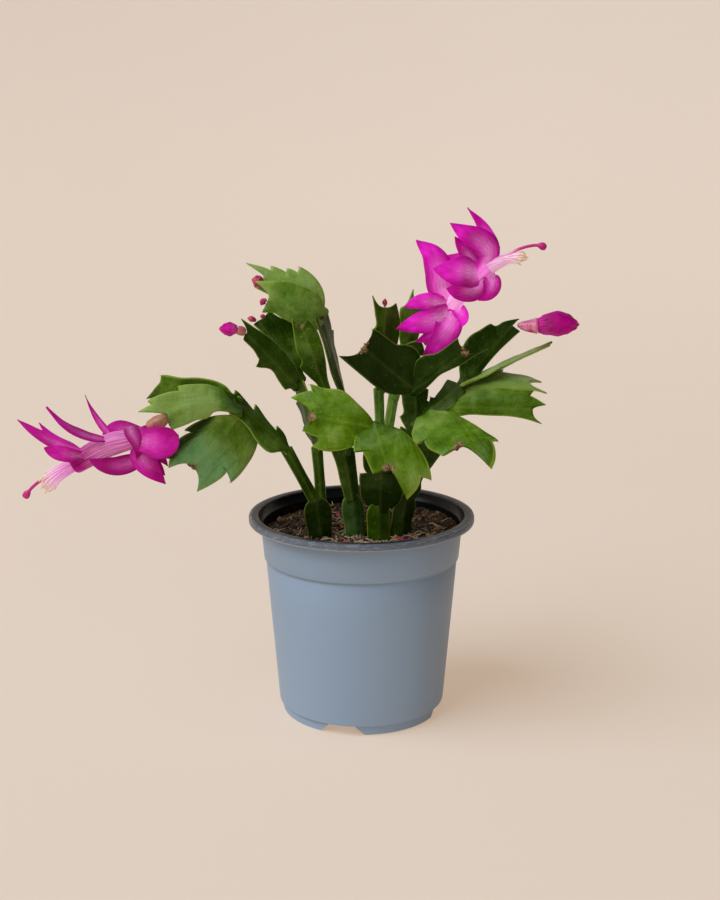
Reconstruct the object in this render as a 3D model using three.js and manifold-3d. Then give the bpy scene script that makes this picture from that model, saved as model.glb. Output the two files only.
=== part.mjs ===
import * as THREE from 'three';
import { mergeVertices } from 'three/addons/utils/BufferGeometryUtils.js';
import Module from 'manifold-3d';

// A christmas cactus in a grow pot. Lengths are in millimetres and +Z is up.
// The front looks along -Y, and the origin is the middle of the pot's foot disc.

const wasm = await Module();
wasm.setup();

// Driving dimensions of the pot
const potHeight = 95;
const lipRadius = 52.5;
const lipInnerRadius = 47.9;
const lipHeight = 3.5;
const collarTopRadius = 47.2;
const collarFootRadius = 45.5;
const stepHeight = 74.6;
const bodyTopRadius = 44.7;
const bodyFootRadius = 39;
const footRadius = 37.4;
const footHeight = 5;
const wall = 1.2;
const discRadius = 22;
const channelInner = 23;
const channelOuter = 33.6;
const notchCount = 4;
const notchTurn = 14;
const notchTop = 10.7;
const notchFoot = 23.4;
const drainCount = 6;
const drainRadius = 3;
const floorThick = 1.6;
const roundSteps = 28;

// Clearance between pieces that touch
const gap = 0.3;

// Driving dimensions of the plant
const soilLevel = 87;
const stubFloor = 62;
const stubTop = 92;
const neckHalf = 2.3;
const rootLength = 3;
const leafRib = 3.4;
const leafTipRib = 2.2;
const leafEdge = 1.1;
const petalThick = 0.9;
const throatRadius = 4.4;
const wellRadius = 3.3;
const wellDepth = 3;
const filamentCount = 8;
const filamentRadius = 0.4;
const styleRadius = 0.8;

const vec = (list) => new THREE.Vector3(...list);

function signedVolume(positions, triangles) {
  const a = new THREE.Vector3();
  const b = new THREE.Vector3();
  const c = new THREE.Vector3();
  let volume = 0;
  for (let i = 0; i < triangles.length; i += 3) {
    a.fromArray(positions, triangles[i] * 3);
    b.fromArray(positions, triangles[i + 1] * 3);
    c.fromArray(positions, triangles[i + 2] * 3);
    volume += a.dot(b.cross(c)) / 6;
  }
  return volume;
}

// A closed geometry as a solid, with its faces turned outwards
function toSolid(geometry) {
  const bare = new THREE.BufferGeometry();
  bare.setAttribute('position', geometry.attributes.position);
  bare.setIndex(geometry.index);
  const merged = mergeVertices(bare, 1e-4);
  const positions = merged.attributes.position.array;
  const index = merged.index.array;
  const triangles = [];
  for (let i = 0; i < index.length; i += 3) {
    const [a, b, c] = [index[i], index[i + 1], index[i + 2]];
    if (a !== b && b !== c && a !== c) {
      triangles.push(a, b, c);
    }
  }
  if (signedVolume(positions, triangles) < 0) {
    triangles.reverse();
  }
  return new wasm.Manifold(new wasm.Mesh({
    numProp: 3,
    vertProperties: new Float32Array(positions),
    triVerts: new Uint32Array(triangles),
  }));
}

function fuse(solids) {
  return solids.reduce((whole, solid) => whole.add(solid));
}

// A round body along a path: the profile holds [radius, share of the path's length]
function roundAlong(profile, path, steps = 8, across = [0, 1, 0.2]) {
  const curve = new THREE.CatmullRomCurve3(path.map(vec));
  const outline = profile.map(([radius, share]) => new THREE.Vector2(radius, share));
  const geometry = new THREE.LatheGeometry(outline, steps);
  const place = geometry.attributes.position;
  for (let i = 0; i < place.count; i += 1) {
    const share = Math.min(1, Math.max(0, place.getY(i)));
    const middle = curve.getPointAt(share);
    const along = curve.getTangentAt(share);
    const side = vec(across).addScaledVector(along, -vec(across).dot(along)).normalize();
    const third = side.clone().cross(along);
    middle.addScaledVector(side, place.getX(i)).addScaledVector(third, place.getZ(i));
    place.setXYZ(i, middle.x, middle.y, middle.z);
  }
  return toSolid(geometry);
}

// A straight round rod between two points
function rod(radius, from, to, steps = 16) {
  const profile = [[0, 0], [radius, 0], [radius, 1], [0, 1]];
  return roundAlong(profile, [from, to], steps);
}

// A closed blade over a grid: the same split on both faces and a rim between them
function blade(rows, columns, place) {
  const sheet = new THREE.PlaneGeometry(1, 1, columns, rows);
  const width = columns + 1;
  const count = width * (rows + 1);
  const positions = [];
  for (const face of [-1, 1]) {
    for (let row = 0; row <= rows; row += 1) {
      for (let column = 0; column <= columns; column += 1) {
        const point = place(row / rows, (2 * column) / columns - 1, face, row);
        positions.push(point.x, point.y, point.z);
      }
    }
  }
  const under = Array.from(sheet.index.array);
  const upper = under.map((corner) => corner + count).reverse();
  const rim = [];
  for (let row = 0; row < rows; row += 1) {
    rim.push(row * width);
  }
  for (let column = 0; column < columns; column += 1) {
    rim.push(rows * width + column);
  }
  for (let row = rows; row > 0; row -= 1) {
    rim.push(row * width + columns);
  }
  for (let column = columns; column > 0; column -= 1) {
    rim.push(column);
  }
  const edge = [];
  rim.forEach((start, i) => {
    const end = rim[(i + 1) % rim.length];
    edge.push(end, start, start + count, end, start + count, end + count);
  });
  const geometry = new THREE.BufferGeometry();
  geometry.setAttribute('position', new THREE.Float32BufferAttribute(positions, 3));
  geometry.setIndex([...under, ...upper, ...edge]);
  return toSolid(geometry);
}

// More points on an outline: the longest stretch is halved until there are enough
function spread(points, count, bulge) {
  const list = points.map(([along, across]) => new THREE.Vector2(along, across));
  while (list.length < count) {
    let longest = 1;
    for (let i = 2; i < list.length; i += 1) {
      const span = list[i].distanceTo(list[i - 1]);
      if (span > list[longest].distanceTo(list[longest - 1])) {
        longest = i;
      }
    }
    const start = list[longest - 1];
    const end = list[longest];
    const middle = start.clone().add(end).multiplyScalar(0.5);
    const span = end.clone().sub(start);
    middle.x -= span.y * bulge * Math.sign(middle.y);
    middle.y += Math.abs(span.x) * bulge * Math.sign(middle.y);
    list.splice(longest, 0, middle);
  }
  return list;
}

// One flat stem segment. The outlines hold [along, across] from the neck to the horn,
// measured from the base towards the areole and from left to right as the viewer sees it.
function segment(leaf) {
  const rows = Math.max(leaf.rows ?? 8, leaf.left.length + 1, leaf.right.length + 1);
  const columns = leaf.columns ?? 4;
  const neck = leaf.neck ?? neckHalf;
  const root = leaf.root ?? rootLength;
  const rib = leaf.rib ?? leafRib;
  const tipRib = leaf.tipRib ?? leafTipRib;
  const edge = leaf.edge ?? leafEdge;
  const bow = leaf.bow ?? 0;
  const cup = leaf.cup ?? 0;
  const arch = leaf.arch ?? 0;
  const base = vec(leaf.from);
  const axis = vec(leaf.to).sub(base);
  const length = axis.length();
  axis.normalize();
  const across = vec(leaf.side).addScaledVector(axis, -vec(leaf.side).dot(axis)).normalize();
  const normal = across.clone().cross(axis);
  const left = spread([[-root, -neck], [0, -neck], ...leaf.left], rows + 1, 0.12);
  const right = spread([[-root, neck], [0, neck], ...leaf.right], rows + 1, 0.12);
  return blade(rows, columns, (share, column, face, row) => {
    const side = column < 0 ? left[row] : right[row];
    const out = Math.abs(column);
    const middle = -root + (length + root) * share;
    const swell = 4 * (middle / length) * (1 - middle / length);
    const bend = 1.5 + share;
    const u = middle + (side.x - middle) * out ** bend;
    const v = arch * swell * (1 - out) + side.y * out;
    const ridge = rib + (tipRib - rib) * share;
    const half = (edge + (ridge - edge) * (1 - out) ** 1.4) / 2;
    const part = u / length;
    const lift = 4 * bow * part * (1 - part) + cup * out * out * Math.min(1, Math.max(0, part));
    return base.clone()
      .addScaledVector(axis, u)
      .addScaledVector(across, v)
      .addScaledVector(normal, lift + face * half);
  });
}

// A bare stem piece with two low ribs
function stalk(from, to, half, more = {}) {
  const length = vec(from).distanceTo(vec(to));
  return {
    from,
    to,
    side: [1, 0.2, 0.2],
    left: [[length * 0.5, -half], [length, -half * 1.1]],
    right: [[length * 0.5, half], [length, half * 1.1]],
    neck: half,
    rib: half * 1.7,
    tipRib: half * 1.6,
    edge: half * 0.8,
    rows: 5,
    columns: 2,
    ...more,
  };
}

// A petal along a path: blunt moves its widest place towards the tip, and below zero to the base
function petal({ path, side, width, cup = 0, blunt = 0 }) {
  const curve = new THREE.CatmullRomCurve3(path.map(vec));
  const columns = width > 9 ? 4 : 2;
  return blade(5, columns, (share, column, face) => {
    const along = curve.getTangentAt(share);
    const across = vec(side).addScaledVector(along, -vec(side).dot(along)).normalize();
    const normal = across.clone().cross(along);
    const swell = Math.sin(Math.PI * (0.16 + 0.84 * share ** (1 + blunt * 0.9)));
    const half = Math.max(0.35, (width / 2) * swell ** (0.8 - 0.3 * blunt));
    const lift = cup * column * column * swell;
    return curve.getPointAt(share)
      .addScaledVector(across, half * column)
      .addScaledVector(normal, lift + (face * petalThick) / 2);
  });
}

// A pointed bud along a path, with its widest place at a share of its length
function bud({ path, radius, neck, widest = 0.5, steps = 6 }) {
  const profile = [
    [0, 0],
    [neck, 0],
    [(neck + radius) / 2, widest * 0.4],
    [radius, widest],
    [radius * 0.8, widest + (1 - widest) * 0.45],
    [radius * 0.4, widest + (1 - widest) * 0.8],
    [0, 1],
  ];
  return roundAlong(profile, path, steps);
}

// The ovary between a leaf's tip and a flower or bud, with its start, middle and end radius
function ovary({ path, start, middle, end }) {
  return roundAlong([[0, 0], [start, 0], [middle, 0.5], [end, 1], [0, 1]], path);
}

// The plain underground stub of a cutting, and the hole for it
function stub({ at, half, thick, turn }, top = stubTop, margin = 0) {
  const round = new THREE.CylinderGeometry(1, 1, top - stubFloor + margin, 16);
  round.rotateX(Math.PI / 2);
  round.translate(0, 0, (top + stubFloor - margin) / 2);
  round.scale(half + margin, thick + margin, 1);
  round.rotateZ(THREE.MathUtils.degToRad(turn));
  round.translate(at[0], at[1], 0);
  return toSolid(round);
}

// The pot: a turned wall with a raised channel round its foot disc
function makePot() {
  const recess = footHeight - 0.4;
  const underLip = potHeight - lipHeight;
  const profile = [
    [0, 0],
    [discRadius, 0],
    [channelInner, recess],
    [channelOuter, recess],
    [channelOuter + 0.5, 0],
    [footRadius, 0],
    [footRadius, recess],
    [bodyFootRadius, footHeight + 0.2],
    [bodyTopRadius, stepHeight - 0.7],
    [collarFootRadius, stepHeight],
    [collarTopRadius, underLip],
    [lipRadius - 0.8, underLip],
    [lipRadius, underLip + 0.8],
    [lipRadius, potHeight - 0.9],
    [lipRadius - 0.9, potHeight],
    [lipInnerRadius + 0.6, potHeight],
    [lipInnerRadius, potHeight - 0.6],
    [lipInnerRadius - 0.6, underLip + 0.2],
    [collarTopRadius - wall, underLip - 1.1],
    [collarFootRadius - wall, stepHeight],
    [bodyTopRadius - wall, stepHeight - 0.7],
    [bodyFootRadius - wall, footHeight + floorThick],
    [channelInner + 0.6, footHeight + 1.2],
    [discRadius - 0.8, floorThick],
    [0, floorThick],
  ];
  const outline = profile.map(([r, z]) => new THREE.Vector2(r, z));
  const turned = new THREE.LatheGeometry(outline, roundSteps);
  turned.rotateX(Math.PI / 2);
  let pot = toSolid(turned);
  const cut = new THREE.Shape();
  cut.moveTo(-notchFoot / 2, -1);
  cut.lineTo(notchFoot / 2, -1);
  cut.lineTo(notchTop / 2, footHeight - 0.2);
  cut.lineTo(-notchTop / 2, footHeight - 0.2);
  for (let i = 0; i < notchCount; i += 1) {
    const notch = new THREE.ExtrudeGeometry(cut, { depth: 6, bevelEnabled: false });
    notch.rotateX(Math.PI / 2);
    notch.translate(0, -channelOuter + 1.4, 0);
    notch.rotateZ(THREE.MathUtils.degToRad(-notchTurn) + (i * 2 * Math.PI) / notchCount);
    pot = pot.subtract(toSolid(notch));
  }
  const ring = (channelInner + channelOuter) / 2;
  for (let i = 0; i < drainCount; i += 1) {
    const angle = ((i + 0.5) * 2 * Math.PI) / drainCount;
    const x = ring * Math.cos(angle);
    const y = ring * Math.sin(angle);
    pot = pot.subtract(rod(drainRadius, [x, y, footHeight - 2], [x, y, footHeight + 3], 10));
  }
  return pot;
}

// The height of the soil's rough top
function soilTop(x, y) {
  const slope = 0.02 * x + 0.012 * y;
  const clods = 0.7 * Math.sin(x * 0.37 + 1) * Math.cos(y * 0.33) + 0.4 * Math.sin(x * 0.8 + y * 0.6);
  return soilLevel + slope + clods;
}

// The soil: it fills the pot to its floor, with a plain hole for each cutting
function makeSoil(stubs) {
  const edge = collarFootRadius - wall + 0.8;
  const profile = [
    [0, floorThick + gap],
    [discRadius - 1.1, floorThick + gap],
    [channelInner + 0.2, footHeight + 1.2 + gap + 0.05],
    [bodyFootRadius - wall - gap - 0.1, footHeight + floorThick + gap],
    [bodyTopRadius - wall - gap, stepHeight - 0.6],
    [collarFootRadius - wall - gap, stepHeight + 0.1],
    [edge, soilLevel - 2],
  ];
  const topRings = [edge, 36, 27, 18, 9, 0];
  const outline = profile.map(([r, z]) => new THREE.Vector2(r, z));
  topRings.forEach((radius) => outline.push(new THREE.Vector2(radius, soilLevel)));
  const turned = new THREE.LatheGeometry(outline, roundSteps);
  turned.rotateX(Math.PI / 2);
  const place = turned.attributes.position;
  for (let i = 0; i < place.count; i += 1) {
    if (Math.abs(place.getZ(i) - soilLevel) < 0.01) {
      place.setZ(i, soilTop(place.getX(i), place.getY(i)));
    }
  }
  return stubs.reduce((soil, one) => soil.subtract(stub(one, potHeight, gap)), toSolid(turned));
}

// The left cutting: two stems from one buried segment
const leftStub = { at: [-19.5, -12.5], half: 5.6, thick: 2.4, turn: 8 };
const leftCutting = [
  // the old segment in the soil
  {
    from: [-19.3, -12.6, 91], to: [-20.5, -12, 104], side: [1, 0.15, 0], neck: 5.4, root: 0,
    columns: 2, rib: 4.4, tipRib: 3.6,
    left: [[4, -6], [9, -6], [12, -4.6], [14, -2.4]],
    right: [[4, 6], [9, 6], [12, 4.6], [14, 2.4]],
  },
  // the front stem, which leans to the left
  stalk([-21.5, -12, 104], [-34, -12, 128], 2.3, { bow: 0.8 }),
  // the back stem
  stalk([-18.5, -10.5, 104], [-20.5, -3.5, 127], 2.2),
  // the narrow leaf at the end of the front stem
  {
    from: [-34, -12, 128], to: [-57, -15, 149.5], side: [0.4, 0.8, 0.45], columns: 2,
    left: [[6.5, -8], [13.5, -8], [20.5, -5.5], [26, -5], [31, -6.5]],
    right: [
      [3.5, 5.2], [9.4, 6.8], [8.8, 3.8], [15.5, 5.4], [23.2, 8.2], [22.4, 4.8], [28, 6.2],
      [34.6, 6.6], [34, 4], [37.5, 3.4],
    ],
  },
  // the narrow leaf at the end of the back stem
  {
    from: [-20.5, -3.5, 127], to: [-28.5, 3, 155.5], side: [0.45, -0.9, 0.1], columns: 2,
    left: [[4, -5], [10.5, -9], [11.2, -5.5], [17, -7], [22.5, -9.5], [23.2, -6], [31.5, -5]],
    right: [[4, 5], [12, 6.5], [20, 7], [31, 5]],
  },
  // the dark leaf at the far end
  {
    from: [-56.5, -11.5, 150], to: [-93.5, 4, 151], side: [0, -0.15, 1], bow: 1.5,
    left: [[8, -4], [16, -6], [24, -7.5], [37, -7.6], [45, -6.4]],
    right: [[4.5, 7], [10, 9], [16, 9.6], [27, 8.6], [37.5, 8.6], [38, 6], [41, 2.6], [47.5, -4]],
  },
  // the leaf that carries the flower
  {
    from: [-54.5, -17, 146.5], to: [-85, -29, 146.5], side: [0, 0.35, 1], arch: 5, bow: 1, tipRib: 2.4,
    left: [[6, 0.2], [13, -0.2], [14.4, -1.4], [20.5, -2.4], [24.5, -3.8], [31.2, -5.6]],
    right: [
      [3.5, 5.4], [7, 9.6], [12.5, 12.4], [19.5, 13.2], [27, 12.8], [26.4, 10.8], [34, 10],
      [40.4, 7.6], [39.2, 5.6], [45, 3.2],
    ],
  },
  // the broad leaf that hangs down
  {
    from: [-55, -16, 144], to: [-75.5, -22, 122.5], side: [-0.5, -0.3, 0.8], bow: 1, cup: 1,
    left: [
      [-1, -7], [2.5, -15], [8, -17.6], [15, -18.8], [24.5, -18.8], [21.6, -13.2], [25, -13.6],
      [31, -12.4], [37.5, -10],
    ],
    right: [
      [1, 2], [6, 8.2], [12, 12.6], [20.5, 15.2], [19.2, 12.2], [25, 14.4], [37, 14.8], [34.2, 10.6],
      [37.8, 7.8],
    ],
  },
  // the leaf that carries the bud
  {
    from: [-30.5, 2, 155], to: [-52, -2, 179], side: [0.75, 0.3, 0.6], bow: 0.6,
    left: [[1.5, -4.5], [6.5, -4], [13, -3], [19, -7], [20, -3.6], [25, -2.6], [31.5, -2.6]],
    right: [[0.5, 4], [11.5, 6.5], [23.5, 6.5], [31.5, 4.6], [39, 3]],
  },
  // the leaf behind it
  {
    from: [-28.5, 4.5, 158], to: [-48, 17, 182], side: [0.75, 0.55, 0.6], arch: 3,
    left: [[6.5, -1.4], [20, -1], [27.5, -1.6], [33, -2.6]],
    right: [[6.5, 5.5], [12.5, 10], [19, 13], [23.5, 13.6], [30, 9.4], [35, 7.4]],
  },
];

// The middle cutting, which forks behind the front leaves
const middleStub = { at: [-3.2, -10.8], half: 4.6, thick: 2.2, turn: 5 };
const middleCutting = [
  // the old segment in the soil
  {
    from: [-3.2, -10.8, 91], to: [-4.5, -10, 106], side: [1, 0.1, 0], neck: 4.4, root: 0, columns: 2,
    rib: 3.8, tipRib: 3.4,
    left: [[5, -4.8], [10, -4.8], [13.5, -3.8], [16, -2]],
    right: [[5, 4.8], [10, 4.6], [13.5, 3.6], [16, 2]],
  },
  // the segment that forks
  {
    from: [-4.5, -10, 105], to: [-8.5, -8, 127.5], side: [1, 0.2, 0], neck: 3.2, rib: 4.2, tipRib: 3.4,
    columns: 2,
    left: [[8, -3.8], [17, -4.2], [22.5, -5.2]],
    right: [[8, 4], [16, 4.6], [22, 5]],
  },
  // the fork to the front leaf
  stalk([-9.5, -7.5, 126.5], [-17, 7, 153.5], 1.9),
  // the fork to the back leaf
  stalk([-7, -8, 126.5], [-9.5, 14, 149], 1.9),
  // the front leaf
  {
    from: [-17, 5.2, 153], to: [-27.5, 6, 182], side: [0.95, 0, 0.25],
    left: [[2.5, -2.5], [7, -4.6], [13, -7.2], [14.5, -5.6], [19.5, -6], [27.5, -4.6], [35, -3]],
    right: [[3, 2.5], [12, 4.6], [21.5, 5.8], [30, 4.8], [32.5, 3.6]],
  },
  // the back leaf, seen on its edge
  {
    from: [-9.5, 14, 148.5], to: [-19, 21, 183.5], side: [0.35, 0.9, 0.1], columns: 2,
    left: [[6.5, -4], [18.5, -5], [29, -5.5], [36.5, -6]],
    right: [[3, 4], [14, 6], [24.5, 7], [30, 9.5], [30.6, 7], [39, 7.5]],
  },
  // the lower leaf of the pair at the top
  {
    from: [-20.5, 17.5, 181], to: [-42.5, 12, 193], side: [0.5, 0.35, 0.85], arch: 2, bow: 1.5,
    left: [[4, -3.4], [10.5, -5], [17, -5], [21, -4.6], [26, -6.6]],
    right: [[0.5, 7], [6, 12.5], [14, 12.4], [20, 11.6], [25, 9.6], [34.5, 5]],
  },
  // the upper leaf of the pair
  {
    from: [-18.5, 23, 186], to: [-45.5, 26, 202], side: [0.45, 0.3, 0.85], bow: 1,
    left: [[4, -5], [15, -6.4], [23, -6], [33, -6.5]],
    right: [
      [1.5, 5], [5, 8.8], [9.5, 11.2], [14.5, 12.4], [19.8, 12.2], [19.2, 9.4], [24.2, 8.8], [24, 6.8],
      [31.4, 5.8], [30.4, 3.8], [42.2, 1.2],
    ],
  },
];

// The front cutting, low and broad
const frontStub = { at: [7.8, -17.2], half: 5.2, thick: 2.4, turn: 2 };
const frontCutting = [
  // the old segment in the soil
  {
    from: [7.8, -17.2, 91], to: [7.4, -18, 103.5], side: [1, 0.05, 0], neck: 5, root: 0, columns: 2,
    rib: 4.4, tipRib: 3.6,
    left: [[4, -5], [8, -5.1], [11, -4.4], [13.5, -2.8]],
    right: [[4, 5], [8, 5.2], [11, 4.5], [13.5, 2.8]],
  },
  // the squat segment on it
  {
    from: [8.5, -18, 102], to: [8.5, -22, 119], side: [1, 0, 0], neck: 3.6,
    left: [[1.5, -6], [6, -8.6], [12, -9.2], [17.5, -9], [18, -6]],
    right: [[1.5, 7], [7, 10], [13, 10.4], [18, 9.4]],
  },
  // the segment behind the light leaves
  {
    from: [8.5, -21.8, 118], to: [8, -27, 141.5], side: [1, 0.1, 0], columns: 2,
    left: [[2, -6], [9, -7.5], [16.5, -6], [24, -5]],
    right: [[2, 6.4], [9, 8], [18, 6.4], [24, 5]],
  },
  // the light leaf that reaches to the left
  {
    from: [5, -26.6, 141], to: [-22.5, -25.5, 146], side: [0.1, 0.35, 1], bow: 1.5, cup: -1,
    left: [[7, -9.4], [13.5, -12.8], [20, -13.8], [24.8, -12.8], [22.8, -10.4], [23, -8.2], [30.5, -6.6]],
    right: [[1, 3.4], [8.5, 9], [16, 13.4], [25, 13.2], [30.8, 14], [29.4, 11.2], [33.5, 10], [38.2, 7]],
  },
  // the light leaf that hangs towards the front
  {
    from: [6, -28, 142], to: [11.5, -40, 126], side: [-1, 0, -0.4], bow: 2, cup: -1,
    left: [
      [1, -4], [5.5, -9.4], [10.5, -12.8], [17.5, -15.6], [24, -16.8], [30, -15.8], [27.8, -12.2],
      [30.5, -9.8], [34, -3],
    ],
    right: [[-2, 7], [3, 10], [9.2, 11.8], [8.6, 8], [14, 7.6], [20.5, 7]],
  },
];

// The right cutting, with the broad dark leaf and the fan
const rightStub = { at: [18, -12], half: 5.4, thick: 2.3, turn: 22 };
const rightCutting = [
  // the old segment in the soil
  {
    from: [18, -12, 91], to: [20, -9.5, 104.5], side: [0.93, 0.37, 0], neck: 5.2, root: 0, columns: 2,
    rib: 4.2, tipRib: 3.6,
    left: [[4, -5], [8, -5], [12, -4], [14.5, -2.4]],
    right: [[4, 5], [9, 5.6], [13, 5.2], [15.5, 3.2]],
  },
  // the broad segment on it
  {
    from: [20, -9.3, 102.5], to: [28.5, -6, 132.5], side: [0.9, 0.35, 0.3], neck: 3, rib: 4,
    left: [[4.5, -5], [13.5, -7.5], [22.5, -9.5], [29, -13], [33.5, -12.5]],
    right: [[3, 4.4], [8, 5.6], [10, 5], [19.5, 8.5], [27.5, 11.5]],
  },
  // the segment under the dark leaves
  {
    from: [24.8, -6.6, 131.5], to: [24, -1, 154], side: [1, 0.2, 0],
    left: [[3, -3.4], [10.5, -6.8], [11.5, -5.6], [17, -5.6], [22, -6]],
    right: [[3, 4.4], [10, 5.8], [17, 6.4], [17.5, 5.6], [22.5, 6.6]],
  },
  // the dark leaf that reaches to the left
  {
    from: [24, -2.5, 153.5], to: [1, -8, 173.5], side: [0.6, 0.2, 0.75], bow: -1.5, cup: 1,
    left: [[3, -5], [8.5, -8.5], [16, -9.8], [23.5, -9.8], [31, -9.8], [38.5, -9.8]],
    right: [
      [5.5, 8], [7.5, 13.4], [11.5, 14.8], [16.5, 13.2], [19.5, 10.8], [25.5, 10.2], [33.6, 9],
      [32, 6.4],
    ],
  },
  // the dark leaf that reaches to the right
  {
    from: [24.5, -3, 153.5], to: [46.5, -12, 172.5], side: [0.5, -0.2, -0.85], arch: -2, bow: -1,
    left: [[4.5, -7], [8, -10], [13, -10], [18, -7.6], [24, -7], [31, -6.8], [29.6, -4]],
    right: [[7, 1.8], [13.5, 1], [19.5, 2], [26, 3.2], [33, 3.6], [40.5, 5]],
  },
  // the short segment under the fan
  {
    from: [29, -5.5, 142], to: [45.5, 1, 154.5], side: [0.42, -0.75, -0.5], root: 8, columns: 2,
    left: [
      [3, -4], [5.5, -7.5], [6.3, -4.8], [8.4, -6.6], [9.4, -4.6], [15, -6], [20, -7.5], [21, -4.6],
    ],
    right: [[4, 4], [10, 5], [14, 6.4], [20, 4.4]],
  },
  // the fan's front leaf
  {
    from: [32, -8.4, 143.6], to: [42.5, -35, 134.5], side: [-1, -0.2, -0.5], bow: 1, root: 4,
    left: [
      [3.5, -5.2], [11.5, -8.4], [20.5, -10.8], [29, -13], [37.6, -15.2], [36.2, -12.8], [41.5, -11.6],
      [45.5, -9.2], [48.2, -5.8],
    ],
    right: [[-3, 6.5], [2, 10.4], [8.5, 13.6], [15.6, 14.4], [15, 10.4], [21.5, 11.2], [30, 8.2]],
  },
  // the fan's lowest leaf to the right
  {
    from: [39.5, -4, 145.5], to: [76.5, -14, 146.5], side: [0.1, -0.45, -1], arch: -4, bow: 1,
    left: [[3, -3], [8, -6.4], [15, -9], [23, -9.6], [31, -8.8], [38.4, -8.6], [37, -6.2], [44.2, -2.6]],
    right: [[4, 3.5], [10.5, 2.8], [20.5, 3], [29.5, 3.2], [36.5, 4.2], [43, 6]],
  },
  // the leaf behind that one
  {
    from: [42, 1.5, 150], to: [78, 12, 153.5], side: [0.1, -0.85, -0.35], bow: 2.5,
    left: [[5.5, -4.8], [13, -8.6], [21, -11.4], [29.8, -12.8], [28.2, -10], [37.5, -8.4], [46, -4]],
    right: [[3, 4], [10, 5], [20, 6], [22, 7.4], [22.8, 5], [34, 5.6], [44, 6.4]],
  },
  // the slim leaf, seen on its edge
  {
    from: [47, 2.5, 155], to: [87.5, 28, 169], side: [-0.1, -1, 0.05], bow: 0.5, columns: 2,
    left: [[8, -5], [17.5, -8.5], [30, -10], [37, -10.6], [38, -6], [55.5, -2]],
    right: [[9.5, 4.4], [18, 6], [19, 4.6], [30, 5], [50, 3]],
  },
  // the fan's top leaf
  {
    from: [46.5, 2, 155.5], to: [70, 20, 179.5], side: [0.7, -0.2, -0.6], bow: -1,
    left: [
      [6, -6.5], [13.5, -10.6], [21, -11.6], [27, -9.8], [32.6, -8], [33.2, -5.8], [37, -4], [43, 0.5],
    ],
    right: [[6, 3], [13, 2.6], [22.5, 2.6], [33, 3.6], [38.5, 4.4]],
  },
];

// The back cutting, which holds up the right flower
const backStub = { at: [9.3, 12], half: 3.2, thick: 2.6, turn: 0 };
const backCutting = [
  // the old stem in the soil
  stalk([9, 12, 88], [9.5, 14, 116], 2.6, { root: 0, neck: 2.7 }),
  // the fork to the leaf with two horns
  stalk([9.5, 14, 114.5], [8, 22.5, 149.5], 2),
  // the fork to the flower
  stalk([10, 14.5, 115], [15.5, 22, 147], 2.1),
  // the stem under the flower
  stalk([15.5, 21.5, 146], [21, 27.5, 168], 2.4, { side: [0.8, -0.4, 0] }),
  // the leaf with two horns
  {
    from: [9, 22.5, 149], to: [11, 28, 187], side: [0.9, 0.4, 0],
    left: [[8.5, -3.6], [21, -4.4], [28, -5.6], [29.4, -4.2], [36, -4.8], [44, -6.5]],
    right: [[8.5, 4], [19, 7], [26.5, 8], [35.5, 7.4], [41, 5.5]],
  },
  // the leaf behind the flower
  {
    from: [21, 27.5, 167.5], to: [25, 36, 191], side: [1, 0.3, 0],
    left: [[5.5, -4], [13.5, -5], [19, -5.4], [20.5, -3.8], [29, -1]],
    right: [[4.5, 4.4], [13, 5.5], [21.5, 5.6], [28, 4.6]],
  },
  // the short segment that carries the flower
  {
    from: [20.5, 27.5, 166.5], to: [29, 24.5, 169], side: [-0.2, 0.2, -1], rows: 5, columns: 2,
    left: [[3, -3.4], [9, -3.6]],
    right: [[3, 3.4], [9, 3.6]],
  },
];

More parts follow.
